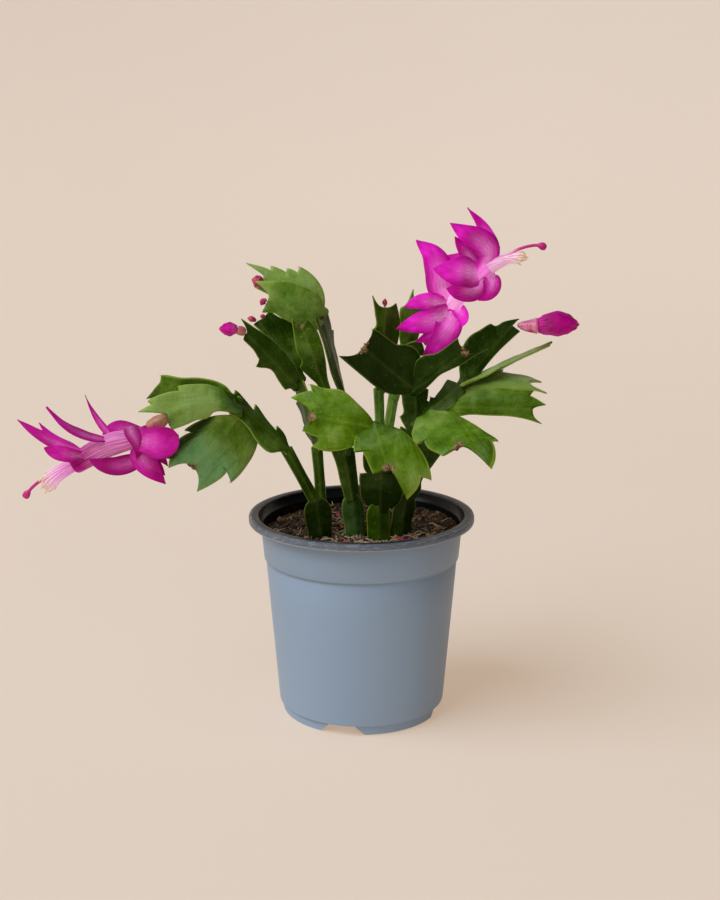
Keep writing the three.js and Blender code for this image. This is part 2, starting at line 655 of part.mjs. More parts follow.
// The left flower: its axis runs down to the left
const leftAxis = [
  [-93.2, -30, 141.2], [-99, -30, 137.4], [-110.5, -30, 134], [-122, -30, 128], [-127, -30, 125],
];
const leftTube = [[0, 0], [2.6, 0], [4.2, 0.2], [5.2, 0.45], [5.1, 0.7], [throatRadius, 1], [0, 1]];
const leftOvary = { path: [[-86, -30.4, 145.9], [-92.8, -30, 141.5]], start: 1.6, middle: 2.7, end: 2.5 };
const leftStyle = [
  [-131.5, -30, 122.8], [-137, -30, 120.5], [-142, -30, 117.8], [-146, -30, 114.5], [-149.5, -30, 110],
];
const leftPetals = [
  {
    path: [[-110.5, -30, 138.5], [-115.5, -29, 145], [-119, -27, 150.5], [-121.5, -25, 155.5]],
    side: [1, 0.2, 0.1], width: 5, blunt: -0.5,
  },
  {
    path: [[-111.5, -33, 137], [-120, -37, 140], [-128.5, -39, 145.5], [-135.5, -38, 153]],
    side: [0, 1, 0.35], width: 7, blunt: -0.2,
  },
  {
    path: [[-123.5, -28, 130.5], [-135.5, -23, 133], [-145, -20, 137.5], [-153.5, -18, 143]],
    side: [0.2, 0.6, 0.8], width: 8,
  },
  {
    path: [
      [-123.5, -27.5, 130], [-126.5, -25, 131], [-135.5, -20, 134],
      [-141, -17, 137.5], [-144.5, -15, 141],
    ],
    side: [0.3, 0.8, 0.5], width: 6,
  },
  {
    path: [[-119.5, -33, 129.5], [-127, -36, 131], [-132.5, -37, 132.5], [-138, -37, 134.5]],
    side: [0.1, 0.5, 0.9], width: 7, blunt: 0.4,
  },
  {
    path: [
      [-100, -30.5, 133.5], [-98.5, -31, 127], [-105.5, -35, 123.5],
      [-112.5, -36, 124.5], [-120, -34, 129],
    ],
    side: [0, 0.6, 0.8], width: 7.5,
  },
  {
    path: [[-99.5, -32, 136], [-92.5, -38, 137.5], [-85.5, -41, 137.5], [-78.5, -42, 141]],
    side: [0.1, 0.3, 1], width: 14.5, blunt: 1, cup: -1.5,
  },
  {
    path: [
      [-98, -31.5, 135], [-96.5, -34, 131.5], [-93, -37, 127],
      [-90, -38, 123.5], [-85.5, -38, 118.5],
    ],
    side: [0.6, 0.2, 0.8], width: 11, blunt: -0.3, cup: -1,
  },
  {
    path: [[-97, -30, 134.5], [-92, -32, 127.5], [-86.5, -33, 121]],
    side: [0.6, 0.5, 0.6], width: 6,
  },
  {
    path: [[-99.5, -28, 134.5], [-95, -22, 131], [-90, -20, 126], [-87, -20, 122]],
    side: [0.4, 0.8, 0.3], width: 8,
  },
  {
    path: [
      [-102.5, -32, 139], [-103.5, -35, 143.5], [-99.5, -38, 139.5],
      [-98.5, -37, 133.5], [-101, -33, 127.5],
    ],
    side: [1, 0.5, 0], width: 6.5,
  },
  {
    path: [[-98, -28, 139.5], [-104.5, -26, 142.5], [-109, -26, 142.5], [-114, -27, 140.5]],
    side: [0, 1, 0.2], width: 6,
  },
];

// The right flower: its axis runs up to the right
const rightAxis = [
  [33.5, 24, 174.5], [37.5, 24, 181], [43, 23, 190], [51.5, 21, 199.5], [59.5, 19, 206.5],
];
const rightTube = [[0, 0], [2.4, 0], [3.2, 0.2], [3.8, 0.45], [4.2, 0.8], [throatRadius, 1], [0, 1]];
const rightOvary = { path: [[29.8, 24.5, 170.2], [33, 24.1, 173.8]], start: 1.7, middle: 2.3, end: 2.1 };
const rightStyle = [
  [64, 17.8, 210.4], [67.5, 16.6, 213.2], [71.5, 15, 215.5], [76, 14, 217], [80.5, 14, 217.5],
  [84.5, 14, 216.5],
];
const rightPetals = [
  {
    path: [[41.5, 22, 191.5], [37.5, 22, 197], [36.5, 23, 204.5], [33, 25, 212.5], [25.5, 27, 219]],
    side: [1, 0.3, 0.1], width: 15,
  },
  {
    path: [[54.5, 17.5, 203.5], [48.5, 10, 206], [40.5, 8, 206.5], [32.5, 9, 207.5]],
    side: [0, 0.3, 1], width: 14.5, cup: -1,
  },
  {
    path: [[56.5, 18.5, 200.5], [50, 14, 196], [44.5, 13, 195.5], [39, 14, 197.5]],
    side: [0, 0.4, 1], width: 8,
  },
  {
    path: [[55, 18.5, 206], [58.6, 17.6, 213], [55.5, 15, 218], [48.5, 14, 222.5], [40.5, 16, 227.5]],
    side: [0.8, 0.3, 0.5], width: 13,
  },
  {
    path: [[57, 21, 206], [60, 23.5, 214.5], [58.5, 24, 220.5], [54.5, 24, 227.5], [49, 25, 234]],
    side: [0.9, 0.3, 0.3], width: 9, blunt: -0.4,
  },
  {
    path: [[57, 19, 203], [62, 16.5, 204], [63.5, 14.5, 200.5], [61.5, 13, 197], [56.5, 12, 194]],
    side: [1, 0.3, 0], width: 8.5,
  },
  {
    path: [[53, 20, 205], [49, 20, 213], [45.5, 20, 217.5], [43, 20, 221]],
    side: [1, 0.2, 0.3], width: 4.5,
  },
  {
    path: [[41, 22, 188.5], [33.5, 17, 191], [26.5, 15, 191.5], [19.5, 15, 189]],
    side: [0, 0.3, 1], width: 9,
  },
  {
    path: [[42.5, 21.5, 186.5], [34.5, 14, 183.5], [25.5, 12, 182], [16, 12, 179.5]],
    side: [0, 0.3, 1], width: 12, cup: -1,
  },
  {
    path: [[42.5, 21.5, 186.5], [39.5, 14, 179], [35, 12, 173.5], [28.5, 12, 167]],
    side: [1, 0.3, 0], width: 13, cup: -1,
  },
  {
    path: [[38.5, 21.5, 181.5], [36.5, 16.5, 179], [31, 14.5, 175.5], [25, 14, 173]],
    side: [0.7, 0, -0.7], width: 6.5,
  },
  {
    path: [[41.5, 21, 186.5], [45.5, 16, 187], [47.5, 14, 184], [46, 14, 179.5]],
    side: [0.8, -0.6, 0.1], width: 7,
  },
  {
    path: [[53.5, 22, 202.5], [49.5, 29, 206.5], [42.5, 33, 207.5], [34.5, 35, 209.5]],
    side: [0, 0.3, 1], width: 12,
  },
];

const unit = (from, to) => vec(to).sub(vec(from)).normalize();
const shift = (point, way, amount) => vec(point).addScaledVector(way, amount).toArray();

// The throat of a flower: the last point of its axis and the way that it opens
function throat(axis) {
  const end = axis[axis.length - 1];
  const way = unit(axis[axis.length - 2], end);
  return { end, way };
}

// Tube and petals as one body, with a plain well in the throat
function flowerBody({ axis, tubeProfile, petals }) {
  const tube = roundAlong(tubeProfile, axis, 12);
  const { end, way } = throat(axis);
  const well = rod(wellRadius, shift(end, way, -wellDepth), shift(end, way, 2 * wellDepth), 12);
  return fuse([tube, ...petals.map(petal)]).subtract(well);
}

// The style's path: straight out of the well, then on through its free points
function stylePath(axis, freeEnd) {
  const { end, way } = throat(axis);
  return [shift(end, way, gap - wellDepth), shift(end, way, -1), shift(end, way, 1), ...freeEnd];
}

// A ring of filaments that stands in the well, each with an anther. The bundle spreads
// towards its end, and gather draws it round to the underside of the style.
function stamenRing({ axis, freeEnd, reach, flare, gather }) {
  const { end, way } = throat(axis);
  const outer = wellRadius - gap;
  const inner = styleRadius + gap;
  const collar = rod(outer, shift(end, way, gap - wellDepth), shift(end, way, -0.6), 12);
  const bore = rod(inner, shift(end, way, -2 * wellDepth), shift(end, way, 1), 12);
  const curve = new THREE.CatmullRomCurve3(stylePath(axis, freeEnd).map(vec));
  const parts = [collar.subtract(bore)];
  const strand = [[0, 0], [filamentRadius, 0], [filamentRadius, 0.5], [filamentRadius, 1], [0, 1]];
  const anther = [[0, 0], [0.6, 0.2], [0.7, 0.6], [0, 1]];
  const middle = (outer + inner) / 2;
  for (let i = 0; i < filamentCount; i += 1) {
    const angle = ((i + 0.5) * 2 * Math.PI) / filamentCount - Math.PI;
    const last = reach * (0.88 + 0.12 * Math.sin(i * 2.4));
    const path = [0, 0.3, 0.55, 0.8, 1].map((part) => {
      const share = Math.max(0.035, last * part);
      const along = curve.getTangentAt(share);
      const side = new THREE.Vector3(0, 1, 0);
      side.addScaledVector(along, -side.dot(along)).normalize();
      const under = side.clone().cross(along);
      under.multiplyScalar(-Math.sign(under.z));
      const away = middle + flare * part ** 1.5;
      const turned = angle * (1 - gather * part);
      return curve.getPointAt(share)
        .addScaledVector(under, away * Math.cos(turned))
        .addScaledVector(side, away * Math.sin(turned))
        .toArray();
    });
    parts.push(roundAlong(strand, path, 4));
    const tip = path[path.length - 1];
    const before = path[path.length - 2];
    const ahead = unit(before, tip);
    parts.push(roundAlong(anther, [shift(tip, ahead, -0.6), shift(tip, ahead, 1.3)], 4));
  }
  return fuse(parts);
}

// The style with its stigma
function styleBody(path) {
  const rings = 7;
  const stigmaStart = 0.86;
  const profile = [[0, 0]];
  for (let i = 0; i <= rings; i += 1) {
    profile.push([styleRadius, stigmaStart * (i / rings)]);
  }
  profile.push([1.3, 0.9], [1.5, 0.95], [0.9, 0.985], [0, 1]);
  return roundAlong(profile, path);
}

// The ovaries of the two large buds, then the buds from the largest to the smallest
const rightBudOvary = {
  path: [[73, 20, 180], [77.5, 20, 179.5], [82, 20, 179.6]], start: 1.8, middle: 2.8, end: 3.7,
};
const leftBudOvary = { path: [[-52.7, -2.5, 180], [-55.6, -3, 181]], start: 1.6, middle: 2.1, end: 1.9 };
const buds = {
  right_bud: {
    path: [[82.7, 20, 179.7], [91.5, 20, 180.7], [101.5, 20, 180]],
    radius: 5.8, neck: 3.9, widest: 0.5, steps: 10,
  },
  left_bud: {
    path: [[-56.4, -3, 181.3], [-59.4, -3, 181.4], [-64, -3, 181.2]],
    radius: 3.2, neck: 1.9, widest: 0.45, steps: 8,
  },
  top_bud: { path: [[-46.2, 21.5, 198], [-48.5, 21.2, 200.5], [-51, 21, 201.5]], radius: 2.8, neck: 1.4 },
  front_bud: { path: [[-43.6, 11.6, 193], [-45.3, 11, 192], [-46.5, 11, 190.5]], radius: 1.5, neck: 0.8 },
  side_bud: { path: [[-48.9, 15.6, 182.7], [-51, 15, 183.5], [-53, 15, 184]], radius: 1.6, neck: 0.9 },
  low_bud: { path: [[-44.4, 10.4, 186], [-45.5, 10.2, 185.3], [-46.7, 10, 185]], radius: 1.2, neck: 0.7 },
  back_bud: { path: [[11, 28, 187.7], [11, 28, 189.5], [11.5, 28, 191.5]], radius: 1.3, neck: 0.7 },
};

const looks = {
  pot: { color: '#808b99', roughness: 0.45 },
  soil: { color: '#4c382b', roughness: 0.95 },
  leaf: { color: '#55802b', roughness: 0.4 },
  darkLeaf: { color: '#3f6420', roughness: 0.4 },
  ovary: { color: '#a4646b', roughness: 0.5 },
  petal: { color: '#c4159f', roughness: 0.5 },
  stamen: { color: '#efd3cf', roughness: 0.6 },
  style: { color: '#c01a86', roughness: 0.5 },
  bud: { color: '#bd2d86', roughness: 0.5 },
};

const group = new THREE.Group();

function addNode(name, solid, look) {
  const mesh = solid.getMesh();
  const geometry = new THREE.BufferGeometry();
  geometry.setAttribute('position', new THREE.BufferAttribute(new Float32Array(mesh.vertProperties), 3));
  geometry.setIndex(new THREE.BufferAttribute(new Uint32Array(mesh.triVerts), 1));
  geometry.computeVertexNormals();
  const material = new THREE.MeshStandardMaterial({ ...looks[look], metalness: 0 });
  const node = new THREE.Mesh(geometry, material);
  node.name = name;
  group.add(node);
}

function addCutting(name, leaves, base, look) {
  addNode(name, fuse([stub(base), ...leaves.map(segment)]), look);
}

function addFlower(side, flower) {
  addNode(`${side}_flower_ovary`, ovary(flower.ovary), 'ovary');
  addNode(`${side}_flower_petals`, flowerBody(flower), 'petal');
  addNode(`${side}_flower_stamens`, stamenRing(flower), 'stamen');
  addNode(`${side}_flower_style`, styleBody(stylePath(flower.axis, flower.freeEnd)), 'style');
}

addNode('pot', makePot(), 'pot');
addNode('soil', makeSoil([leftStub, middleStub, frontStub, rightStub, backStub]), 'soil');
addCutting('cutting_left', leftCutting, leftStub, 'leaf');
addCutting('cutting_middle', middleCutting, middleStub, 'leaf');
addCutting('cutting_front', frontCutting, frontStub, 'leaf');
addCutting('cutting_right', rightCutting, rightStub, 'darkLeaf');
addCutting('cutting_back', backCutting, backStub, 'darkLeaf');

addFlower('left', {
  axis: leftAxis, tubeProfile: leftTube, ovary: leftOvary, petals: leftPetals,
  freeEnd: leftStyle, reach: 0.7, flare: 2, gather: 0.15,
});
addFlower('right', {
  axis: rightAxis, tubeProfile: rightTube, ovary: rightOvary, petals: rightPetals,
  freeEnd: rightStyle, reach: 0.78, flare: 1.3, gather: 0.5,
});

addNode('right_bud_ovary', ovary(rightBudOvary), 'ovary');
addNode('left_bud_ovary', ovary(leftBudOvary), 'ovary');
Object.entries(buds).forEach(([name, one]) => addNode(name, bud(one), 'bud'));

export default group;
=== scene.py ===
import math
import random
from bisect import bisect_right

import bmesh
import bpy
from mathutils import Matrix, Vector, noise


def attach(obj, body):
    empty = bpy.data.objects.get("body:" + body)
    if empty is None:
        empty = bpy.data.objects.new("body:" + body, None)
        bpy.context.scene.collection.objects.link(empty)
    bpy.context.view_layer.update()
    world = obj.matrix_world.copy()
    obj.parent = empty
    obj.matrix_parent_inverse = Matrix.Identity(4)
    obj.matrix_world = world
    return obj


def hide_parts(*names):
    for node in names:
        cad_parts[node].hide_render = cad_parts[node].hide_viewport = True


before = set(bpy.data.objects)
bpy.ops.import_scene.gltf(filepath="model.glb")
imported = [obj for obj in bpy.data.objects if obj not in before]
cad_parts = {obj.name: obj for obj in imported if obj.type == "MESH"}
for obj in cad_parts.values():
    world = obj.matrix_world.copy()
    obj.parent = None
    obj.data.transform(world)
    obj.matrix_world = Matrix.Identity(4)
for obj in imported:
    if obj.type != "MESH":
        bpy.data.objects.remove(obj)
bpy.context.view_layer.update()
print("frame loaded, nodes:", len(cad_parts))

# Shapes are worked out in millimetres and written in metres.
# The front looks along -Y, and the middle of the pot's foot is the origin.
mm = 0.001
stamps = {}


def clamp(value, low=0, high=1):
    return min(high, max(low, value))


def easeIn(value, low, high):  # 0 below low, 1 above high, smooth between them
    t = clamp((value - low) / (high - low))
    return t * t * (3 - 2 * t)


def hermite(start, end, leave, arrive, t):
    return (
        start * (2 * t**3 - 3 * t**2 + 1) + leave * (t**3 - 2 * t**2 + t)
        + end * (3 * t**2 - 2 * t**3) + arrive * (t**3 - t**2)
    )


def squared(side, along):  # side, turned square to along
    return (side - along * side.dot(along)).normalized()


def anyWay(dice):  # a random step, up to 1 along each axis
    return Vector((dice.uniform(-1, 1), dice.uniform(-1, 1), dice.uniform(-1, 1)))


class Trail:  # a smooth line through its points, read by the share of its length
    def __init__(self, points, steps=20):
        points = [Vector(point) for point in points]
        points = [2 * points[0] - points[1]] + points + [2 * points[-1] - points[-2]]
        self.places, self.marks = [points[1]], [0]
        for first, start, end, last in zip(points, points[1:], points[2:], points[3:]):
            a, b, c = (max(1e-3, span.length ** 0.5) for span in (start - first, end - start, last - end))
            leave = ((start - first) / a - (end - first) / (a + b) + (end - start) / b) * b
            arrive = ((end - start) / b - (last - start) / (b + c) + (last - end) / c) * b
            self.places += [hermite(start, end, leave, arrive, i / steps) for i in range(1, steps + 1)]
        for start, end in zip(self.places, self.places[1:]):
            self.marks.append(self.marks[-1] + (end - start).length)

    def at(self, share):
        wanted = clamp(share) * self.marks[-1]
        low = min(bisect_right(self.marks, wanted) - 1, len(self.marks) - 2)
        part = (wanted - self.marks[low]) / max(1e-9, self.marks[low + 1] - self.marks[low])
        return self.places[low].lerp(self.places[low + 1], part)

    def along(self, share):
        return (self.at(share + 0.01) - self.at(share - 0.01)).normalized()

    def frame(self, share, side):  # a place on it and two ways square to it
        along = self.along(share)
        across = squared(Vector(side), along)
        return self.at(share), across, across.cross(along)


# An outline with count points: it rounds its gentle turns and keeps its teeth sharp
def smoothOutline(points, count, bulge=0.2, gentle=0.62):
    points = [Vector(point) for point in points]
    spans = [end - start for start, end in zip(points, points[1:])]
    ways = [span.normalized() for span in spans]
    total = sum(span.length for span in spans)
    shares = [max(1, round((count - 1) * span.length / total)) for span in spans]
    while sum(shares) != count - 1:
        shares[shares.index(max(shares))] += 1 if sum(shares) < count - 1 else -1
    outline = [points[0]]
    for i, (span, way) in enumerate(zip(spans, ways)):
        swing = bulge * math.copysign(1, points[i].y + points[i + 1].y) if abs(span.x) > 3 else 0
        slopes = []
        for near, bend in ((max(0, i - 1), swing), (min(i + 1, len(ways) - 1), -swing)):
            if way.dot(ways[near]) > gentle:
                slope = (way * spans[near].length + ways[near] * span.length).normalized()
            else:
                slope = Vector((way.x - way.y * bend, way.y + way.x * bend))
            slopes.append(slope * span.length)
        for j in range(1, shares[i] + 1):
            outline.append(hermite(points[i], points[i + 1], *slopes, j / shares[i]))
    return outline


def evenProfile(points, count):  # a profile of (radius, share) in even steps
    points = [Vector(point) for point in points]
    marks = [0]
    for a, b in zip(points, points[1:]):  # a share counts ten times a millimetre
        marks.append(marks[-1] + math.hypot(b.x - a.x, (b.y - a.y) * 10))
    profile = []
    for i in range(count):
        wanted = marks[-1] * i / (count - 1)
        k = max(j for j in range(len(points) - 1) if marks[j] <= wanted + 1e-9)
        part = clamp((wanted - marks[k]) / max(1e-9, marks[k + 1] - marks[k]))
        profile.append(tuple(points[k].lerp(points[k + 1], part)))
    return profile


def asMesh(shape, name):
    mesh = bpy.data.meshes.new(name)
    shape.to_mesh(mesh)
    shape.free()
    return mesh


def addObject(name, data):
    thing = bpy.data.objects.new(name, data)
    bpy.context.scene.collection.objects.link(thing)
    return thing


def blade(rows, columns):  # a thin block with rows along Y, columns along X and a rim in two
    block = bmesh.new()
    bmesh.ops.create_cube(block, size=1)
    for axis, cuts in ((1, rows - 1), (0, columns - 1), (2, 1)):
        edges = [edge for edge in block.edges if abs((edge.verts[0].co - edge.verts[1].co)[axis]) > 0.5]
        bmesh.ops.subdivide_edges(block, edges=edges, cuts=cuts, use_grid_fill=True)
    return block


def tube(rings, sides):  # a closed cylinder with its rings along Z
    block = bmesh.new()
    bmesh.ops.create_cone(block, cap_ends=True, segments=sides, radius1=1, radius2=1, depth=1)
    upright = [edge for edge in block.edges if abs(edge.verts[0].co.z - edge.verts[1].co.z) > 0.5]
    if rings > 2:
        bmesh.ops.subdivide_edges(block, edges=upright, cuts=rings - 2, use_grid_fill=True)
    return block


def lump(level):
    block = bmesh.new()
    bmesh.ops.create_icosphere(block, subdivisions=level, radius=1)
    return block


def stampInto(shape, body, *counts):  # adds a blade, tube or lump to a shape and gives its points
    if (body, counts) not in stamps:
        stamps[body, counts] = asMesh(body(*counts), "stamp")
    count = len(shape.verts)
    shape.from_mesh(stamps[body, counts])
    shape.verts.ensure_lookup_table()
    return shape.verts[count:]


def bladeInto(shape, grid):  # adds a blade, and gives each point with its share, column and face
    return [(vert, vert.co.y + 0.5, 2 * vert.co.x, 2 * vert.co.z) for vert in stampInto(shape, blade, *grid)]


def newShape(*names):  # an empty shape, with three numbers to paint on each point for each name
    shape = bmesh.new()
    for name in names:
        shape.verts.layers.float_vector.new(name)
    return shape


def paints(shape, name):
    return shape.verts.layers.float_vector[name]


# A round body along a trail: the profile holds (radius, share of the length)
def roundAlong(shape, trail, profile, sides, mould=None, layer=None, dye=None):
    frames = [trail.frame(clamp(share), (0, 1, 0.2)) for radius, share in profile]
    fresh = stampInto(shape, tube, len(profile), sides)
    paint = paints(shape, layer) if layer else None
    for vert in fresh:
        ring = round((vert.co.z + 0.5) * (len(profile) - 1))
        radius, share = profile[ring]
        middle, across, third = frames[ring]
        angle = math.atan2(vert.co.y, vert.co.x)
        if mould:
            radius = mould(radius, share, angle)
        vert.co = middle + radius * (math.cos(angle) * across + math.sin(angle) * third)
        if layer:
            vert[paint] = dye(share, angle)


def turn(outline, steps):  # turns an outline of (radius, height) round the Z axis
    shape = bmesh.new()
    verts = [shape.verts.new((radius, 0, z)) for radius, z in outline]
    edges = [shape.edges.new(pair) for pair in zip(verts, verts[1:])]
    bmesh.ops.spin(
        shape, geom=verts + edges, cent=(0, 0, 0), axis=(0, 0, 1), dvec=(0, 0, 0),
        angle=2 * math.pi, steps=steps, use_merge=True, use_duplicate=False,
    )
    bmesh.ops.remove_doubles(shape, verts=shape.verts, dist=0.001)
    bmesh.ops.recalc_face_normals(shape, faces=shape.faces)
    return shape


def carve(shape, cutters):  # cuts one shape out of another and gives the rest
    solid, tool = addObject("solid", asMesh(shape, "solid")), addObject("tool", asMesh(cutters, "tool"))
    cut = solid.modifiers.new("cut", "BOOLEAN")
    cut.operation, cut.solver, cut.object = "DIFFERENCE", "EXACT", tool
    rest = bmesh.new()
    evaluated = solid.evaluated_get(bpy.context.evaluated_depsgraph_get())
    rest.from_mesh(evaluated.to_mesh())
    evaluated.to_mesh_clear()
    for thing in (solid, tool):
        bpy.data.objects.remove(thing)
    return rest


def finishPiece(name, shape, finishes, replaces=(), flat=False):
    bmesh.ops.recalc_face_normals(shape, faces=shape.faces)
    bmesh.ops.scale(shape, vec=(mm, mm, mm), verts=shape.verts)
    mesh = asMesh(shape, name)
    piece = addObject(name, mesh)
    for finish in finishes:
        mesh.materials.append(finish.material)
    mesh.polygons.foreach_set("use_smooth", [not flat] * len(mesh.polygons))
    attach(piece, "root")
    if replaces:
        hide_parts(*replaces)
    print(f"{name}: {sum(len(face.vertices) - 2 for face in mesh.polygons)} triangles")
    return piece


class Wire:  # a value in a material, so that a mask can be written as a sum
    def __init__(self, finish, socket):
        self.finish, self.socket = finish, socket

    def __add__(self, other):
        return self.finish.maths("ADD", self, other)

    def __sub__(self, other):
        return self.finish.maths("SUBTRACT", self, other)

    def __rsub__(self, other):
        return self.finish.maths("SUBTRACT", other, self)

    def __mul__(self, other):
        return self.finish.maths("MULTIPLY", self, other)

    __radd__, __rmul__ = __add__, __mul__


def linear(colour):  # three numbers are a colour as a screen shows it, four are linear already
    if len(colour) == 4:
        return colour
    parts = [channel / 255 for channel in colour]
    return tuple(c / 12.92 if c < 0.04 else ((c + 0.055) / 1.055) ** 2.4 for c in parts) + (1,)


class Finish:  # one material on the Principled shader
    def __init__(self, name, **fixed):
        self.material = bpy.data.materials.new(name)
        self.material.use_nodes = True
        self.nodes, self.links = self.material.node_tree.nodes, self.material.node_tree.links
        self.skin = self.nodes["Principled BSDF"]
        for socket, value in fixed.items():
            self.skin.inputs[socket.replace("_", " ")].default_value = value

    def add(self, kind, settings=None, sockets=None, output=0):
        node = self.nodes.new("ShaderNode" + kind)
        for setting, value in (settings or {}).items():
            if setting == "stops":
                while len(node.color_ramp.elements) < len(value):
                    node.color_ramp.elements.new(0.5)
                for element, (place, colour) in zip(node.color_ramp.elements, value):
                    element.position, element.color = place, linear(colour)
            else:
                setattr(node, setting, value)
        for socket, value in (sockets or {}).items():
            self.feed(node.inputs[socket], value)
        return Wire(self, node.outputs[output])

    def feed(self, socket, value):
        if isinstance(value, Wire):
            self.links.new(value.socket, socket)
        else:
            socket.default_value = linear(value) if isinstance(value, tuple) else value

    def wear(self, **sockets):  # the sockets of the shader that change over the surface
        for socket, value in sockets.items():
            self.feed(self.skin.inputs[socket.replace("_", " ")], value)

    def maths(self, operation, first, second=0, clamped=False):
        return self.add("Math", {"operation": operation, "use_clamp": clamped}, {0: first, 1: second})

    def size(self, value):
        return self.maths("ABSOLUTE", value)

    def mix(self, mask, first, second):
        return self.add("Mix", {"data_type": "RGBA"}, {0: mask, 6: first, 7: second}, 2)

    def coats(self, colour, *coats):  # more colours over the first, each as thick as its mask says
        for mask, tint in coats:
            colour = self.mix(mask, colour, tint)
        return colour

    def step(self, value, low, high):  # 0 at low, 1 at high
        sockets = {"Value": value, "From Min": low, "From Max": high}
        return self.add("MapRange", {"interpolation_type": "SMOOTHSTEP"}, sockets)

    def ramp(self, value, *stops):
        return self.add("ValToRGB", {"stops": stops}, {0: value})

    def place(self):  # the place on the object, in metres
        return self.add("TexCoord", output="Object")

    def cloud(self, place, scale, detail=3, roughness=0.5, twist=0):
        sockets = {"Vector": place, "Scale": scale, "Detail": detail, "Roughness": roughness}
        return self.add("TexNoise", None, sockets | {"Distortion": twist})

    def cells(self, place, scale):
        return self.add("TexVoronoi", None, {"Vector": place, "Scale": scale})

    def parts(self, vector):  # its three numbers
        node = self.add("SeparateXYZ", None, {0: vector}).socket.node
        return [Wire(self, output) for output in node.outputs]

    def painted(self, name):  # the numbers painted on the points
        return self.parts(self.add("Attribute", {"attribute_name": name}, None, "Vector"))

    def join(self, x, y, z):
        return self.add("CombineXYZ", None, {0: x, 1: y, 2: z})

    def bump(self, height, distance, strength, under=None):
        sockets = {"Height": height, "Distance": distance, "Strength": strength}
        if under:
            sockets["Normal"] = under
        return self.add("Bump", None, sockets)


stage = {
    "lens": 55.64, "cameraPlace": (-0.0007, -0.6256, 0.2704), "cameraTilt": 76.9,
    "floorRadius": 1100, "wallRadius": 2100, "wallHeight": 1500,
    "keyPlace": (-2.6, -1.5, 3.2), "keyTarget": (0, 0, 0.12), "keySize": 4.4, "keyPower": 220,
    "skyStrength": 0.1, "cardSize": 1.1, "cardPlace": (0.7, -0.1, 0.56),
}


def makeCamera():
    view = bpy.data.cameras.new("photoView")
    view.lens, view.sensor_width, view.clip_start = stage["lens"], 36, 0.01
    camera = addObject("photoView", view)
    camera.location = stage["cameraPlace"]
    camera.rotation_euler = (math.radians(stage["cameraTilt"]), 0, 0)
    bpy.context.scene.camera = camera


def paperFinish():  # a warm sheet that glows with painted light, so that shadows stay pale; the glow is dimmer up the wall, and dimmer towards the right as painted shade
    paper = Finish("warmPaper", Roughness=0.9, Emission_Strength=0.44, Specular_IOR_Level=0.2)
    x, y, z = paper.parts(paper.place())
    colour = paper.mix(paper.cloud(paper.place(), 3, 2), (166, 168, 168), (170, 172, 172))
    paper.wear(Base_Color=colour, Emission_Color=paper.coats(
        (1, 0.73, 0.52, 1), (paper.step(z, 0.05, 0.6), (0.88, 0.63, 0.45, 1)),
        (paper.step(x, 0.1, 1.5) * 0.25, (0.6, 0.4, 0.26, 1)),
    ))
    return paper


def makeBackdrop():
    floor, wall = stage["floorRadius"], stage["wallRadius"]
    outline = [(0, 0), (300, 0), (700, 0), (floor, 0)]
    for i in range(1, 13):
        angle = math.radians(i * 90 / 12)
        outline.append((floor + (wall - floor) * math.sin(angle), (wall - floor) * (1 - math.cos(angle))))
    shape = turn(outline + [(wall, stage["wallHeight"])], 64)
    bmesh.ops.scale(shape, vec=(mm, mm, mm), verts=shape.verts)
    bmesh.ops.translate(shape, vec=(0, 0, -0.0001), verts=shape.verts)
    backdrop = addObject("paperSweep", asMesh(shape, "paperSweep"))
    backdrop.data.materials.append(paperFinish().material)
    backdrop.data.polygons.foreach_set("use_smooth", [True] * len(backdrop.data.polygons))


def makeDarkCard():  # a card out of view that keeps the right side in shade
    shape = bmesh.new()
    bmesh.ops.create_grid(shape, x_segments=1, y_segments=1, size=stage["cardSize"] / 2)
    bmesh.ops.rotate(shape, verts=shape.verts, matrix=Matrix.Rotation(math.radians(90), 3, "Y"))
    bmesh.ops.translate(shape, verts=shape.verts, vec=stage["cardPlace"])
    card = addObject("darkCard", asMesh(shape, "darkCard"))
    felt = Finish("blackFelt", Roughness=0.9)
    felt.wear(Base_Color=felt.mix(felt.cloud(felt.place(), 8), (20, 20, 20), (28, 28, 28)))
    card.data.materials.append(felt.material)
    card.visible_camera = False


def makeLights():
    data = bpy.data.lights.new("windowLight", "AREA")
    data.shape, data.color = "DISK", (0.93, 0.97, 1)
    data.size, data.energy = stage["keySize"], stage["keyPower"]
    lamp = addObject("windowLight", data)
    lamp.location = stage["keyPlace"]
    way = Vector(stage["keyTarget"]) - Vector(stage["keyPlace"])
    lamp.rotation_euler = way.to_track_quat("-Z", "Y").to_euler()
    world = bpy.data.worlds.new("room")
    world.use_nodes = True
    sky = world.node_tree.nodes["Background"].inputs
    sky["Color"].default_value, sky["Strength"].default_value = (1, 0.98, 0.96, 1), stage["skyStrength"]
    bpy.context.scene.world = world
    bpy.context.scene.view_settings.view_transform = "Standard"


makeCamera()
makeBackdrop()
makeDarkCard()
makeLights()
print("stage ready")

pot = {
    "height": 95, "lip": 52.5, "lipInner": 47.9, "lipHeight": 3.5,
    "collarTop": 47.2, "collarFoot": 45.5, "step": 74.6, "bodyTop": 44.7, "bodyFoot": 39,
    "foot": 37.4, "footHeight": 5, "wall": 1.2, "floor": 1.6,
    "disc": 22, "channelInner": 23, "channelOuter": 33.6,
    "notches": 4, "notchTurn": -14, "notchTop": 10.7, "notchFoot": 23.4,
    "drains": 6, "drainRadius": 3, "steps": 160,
}


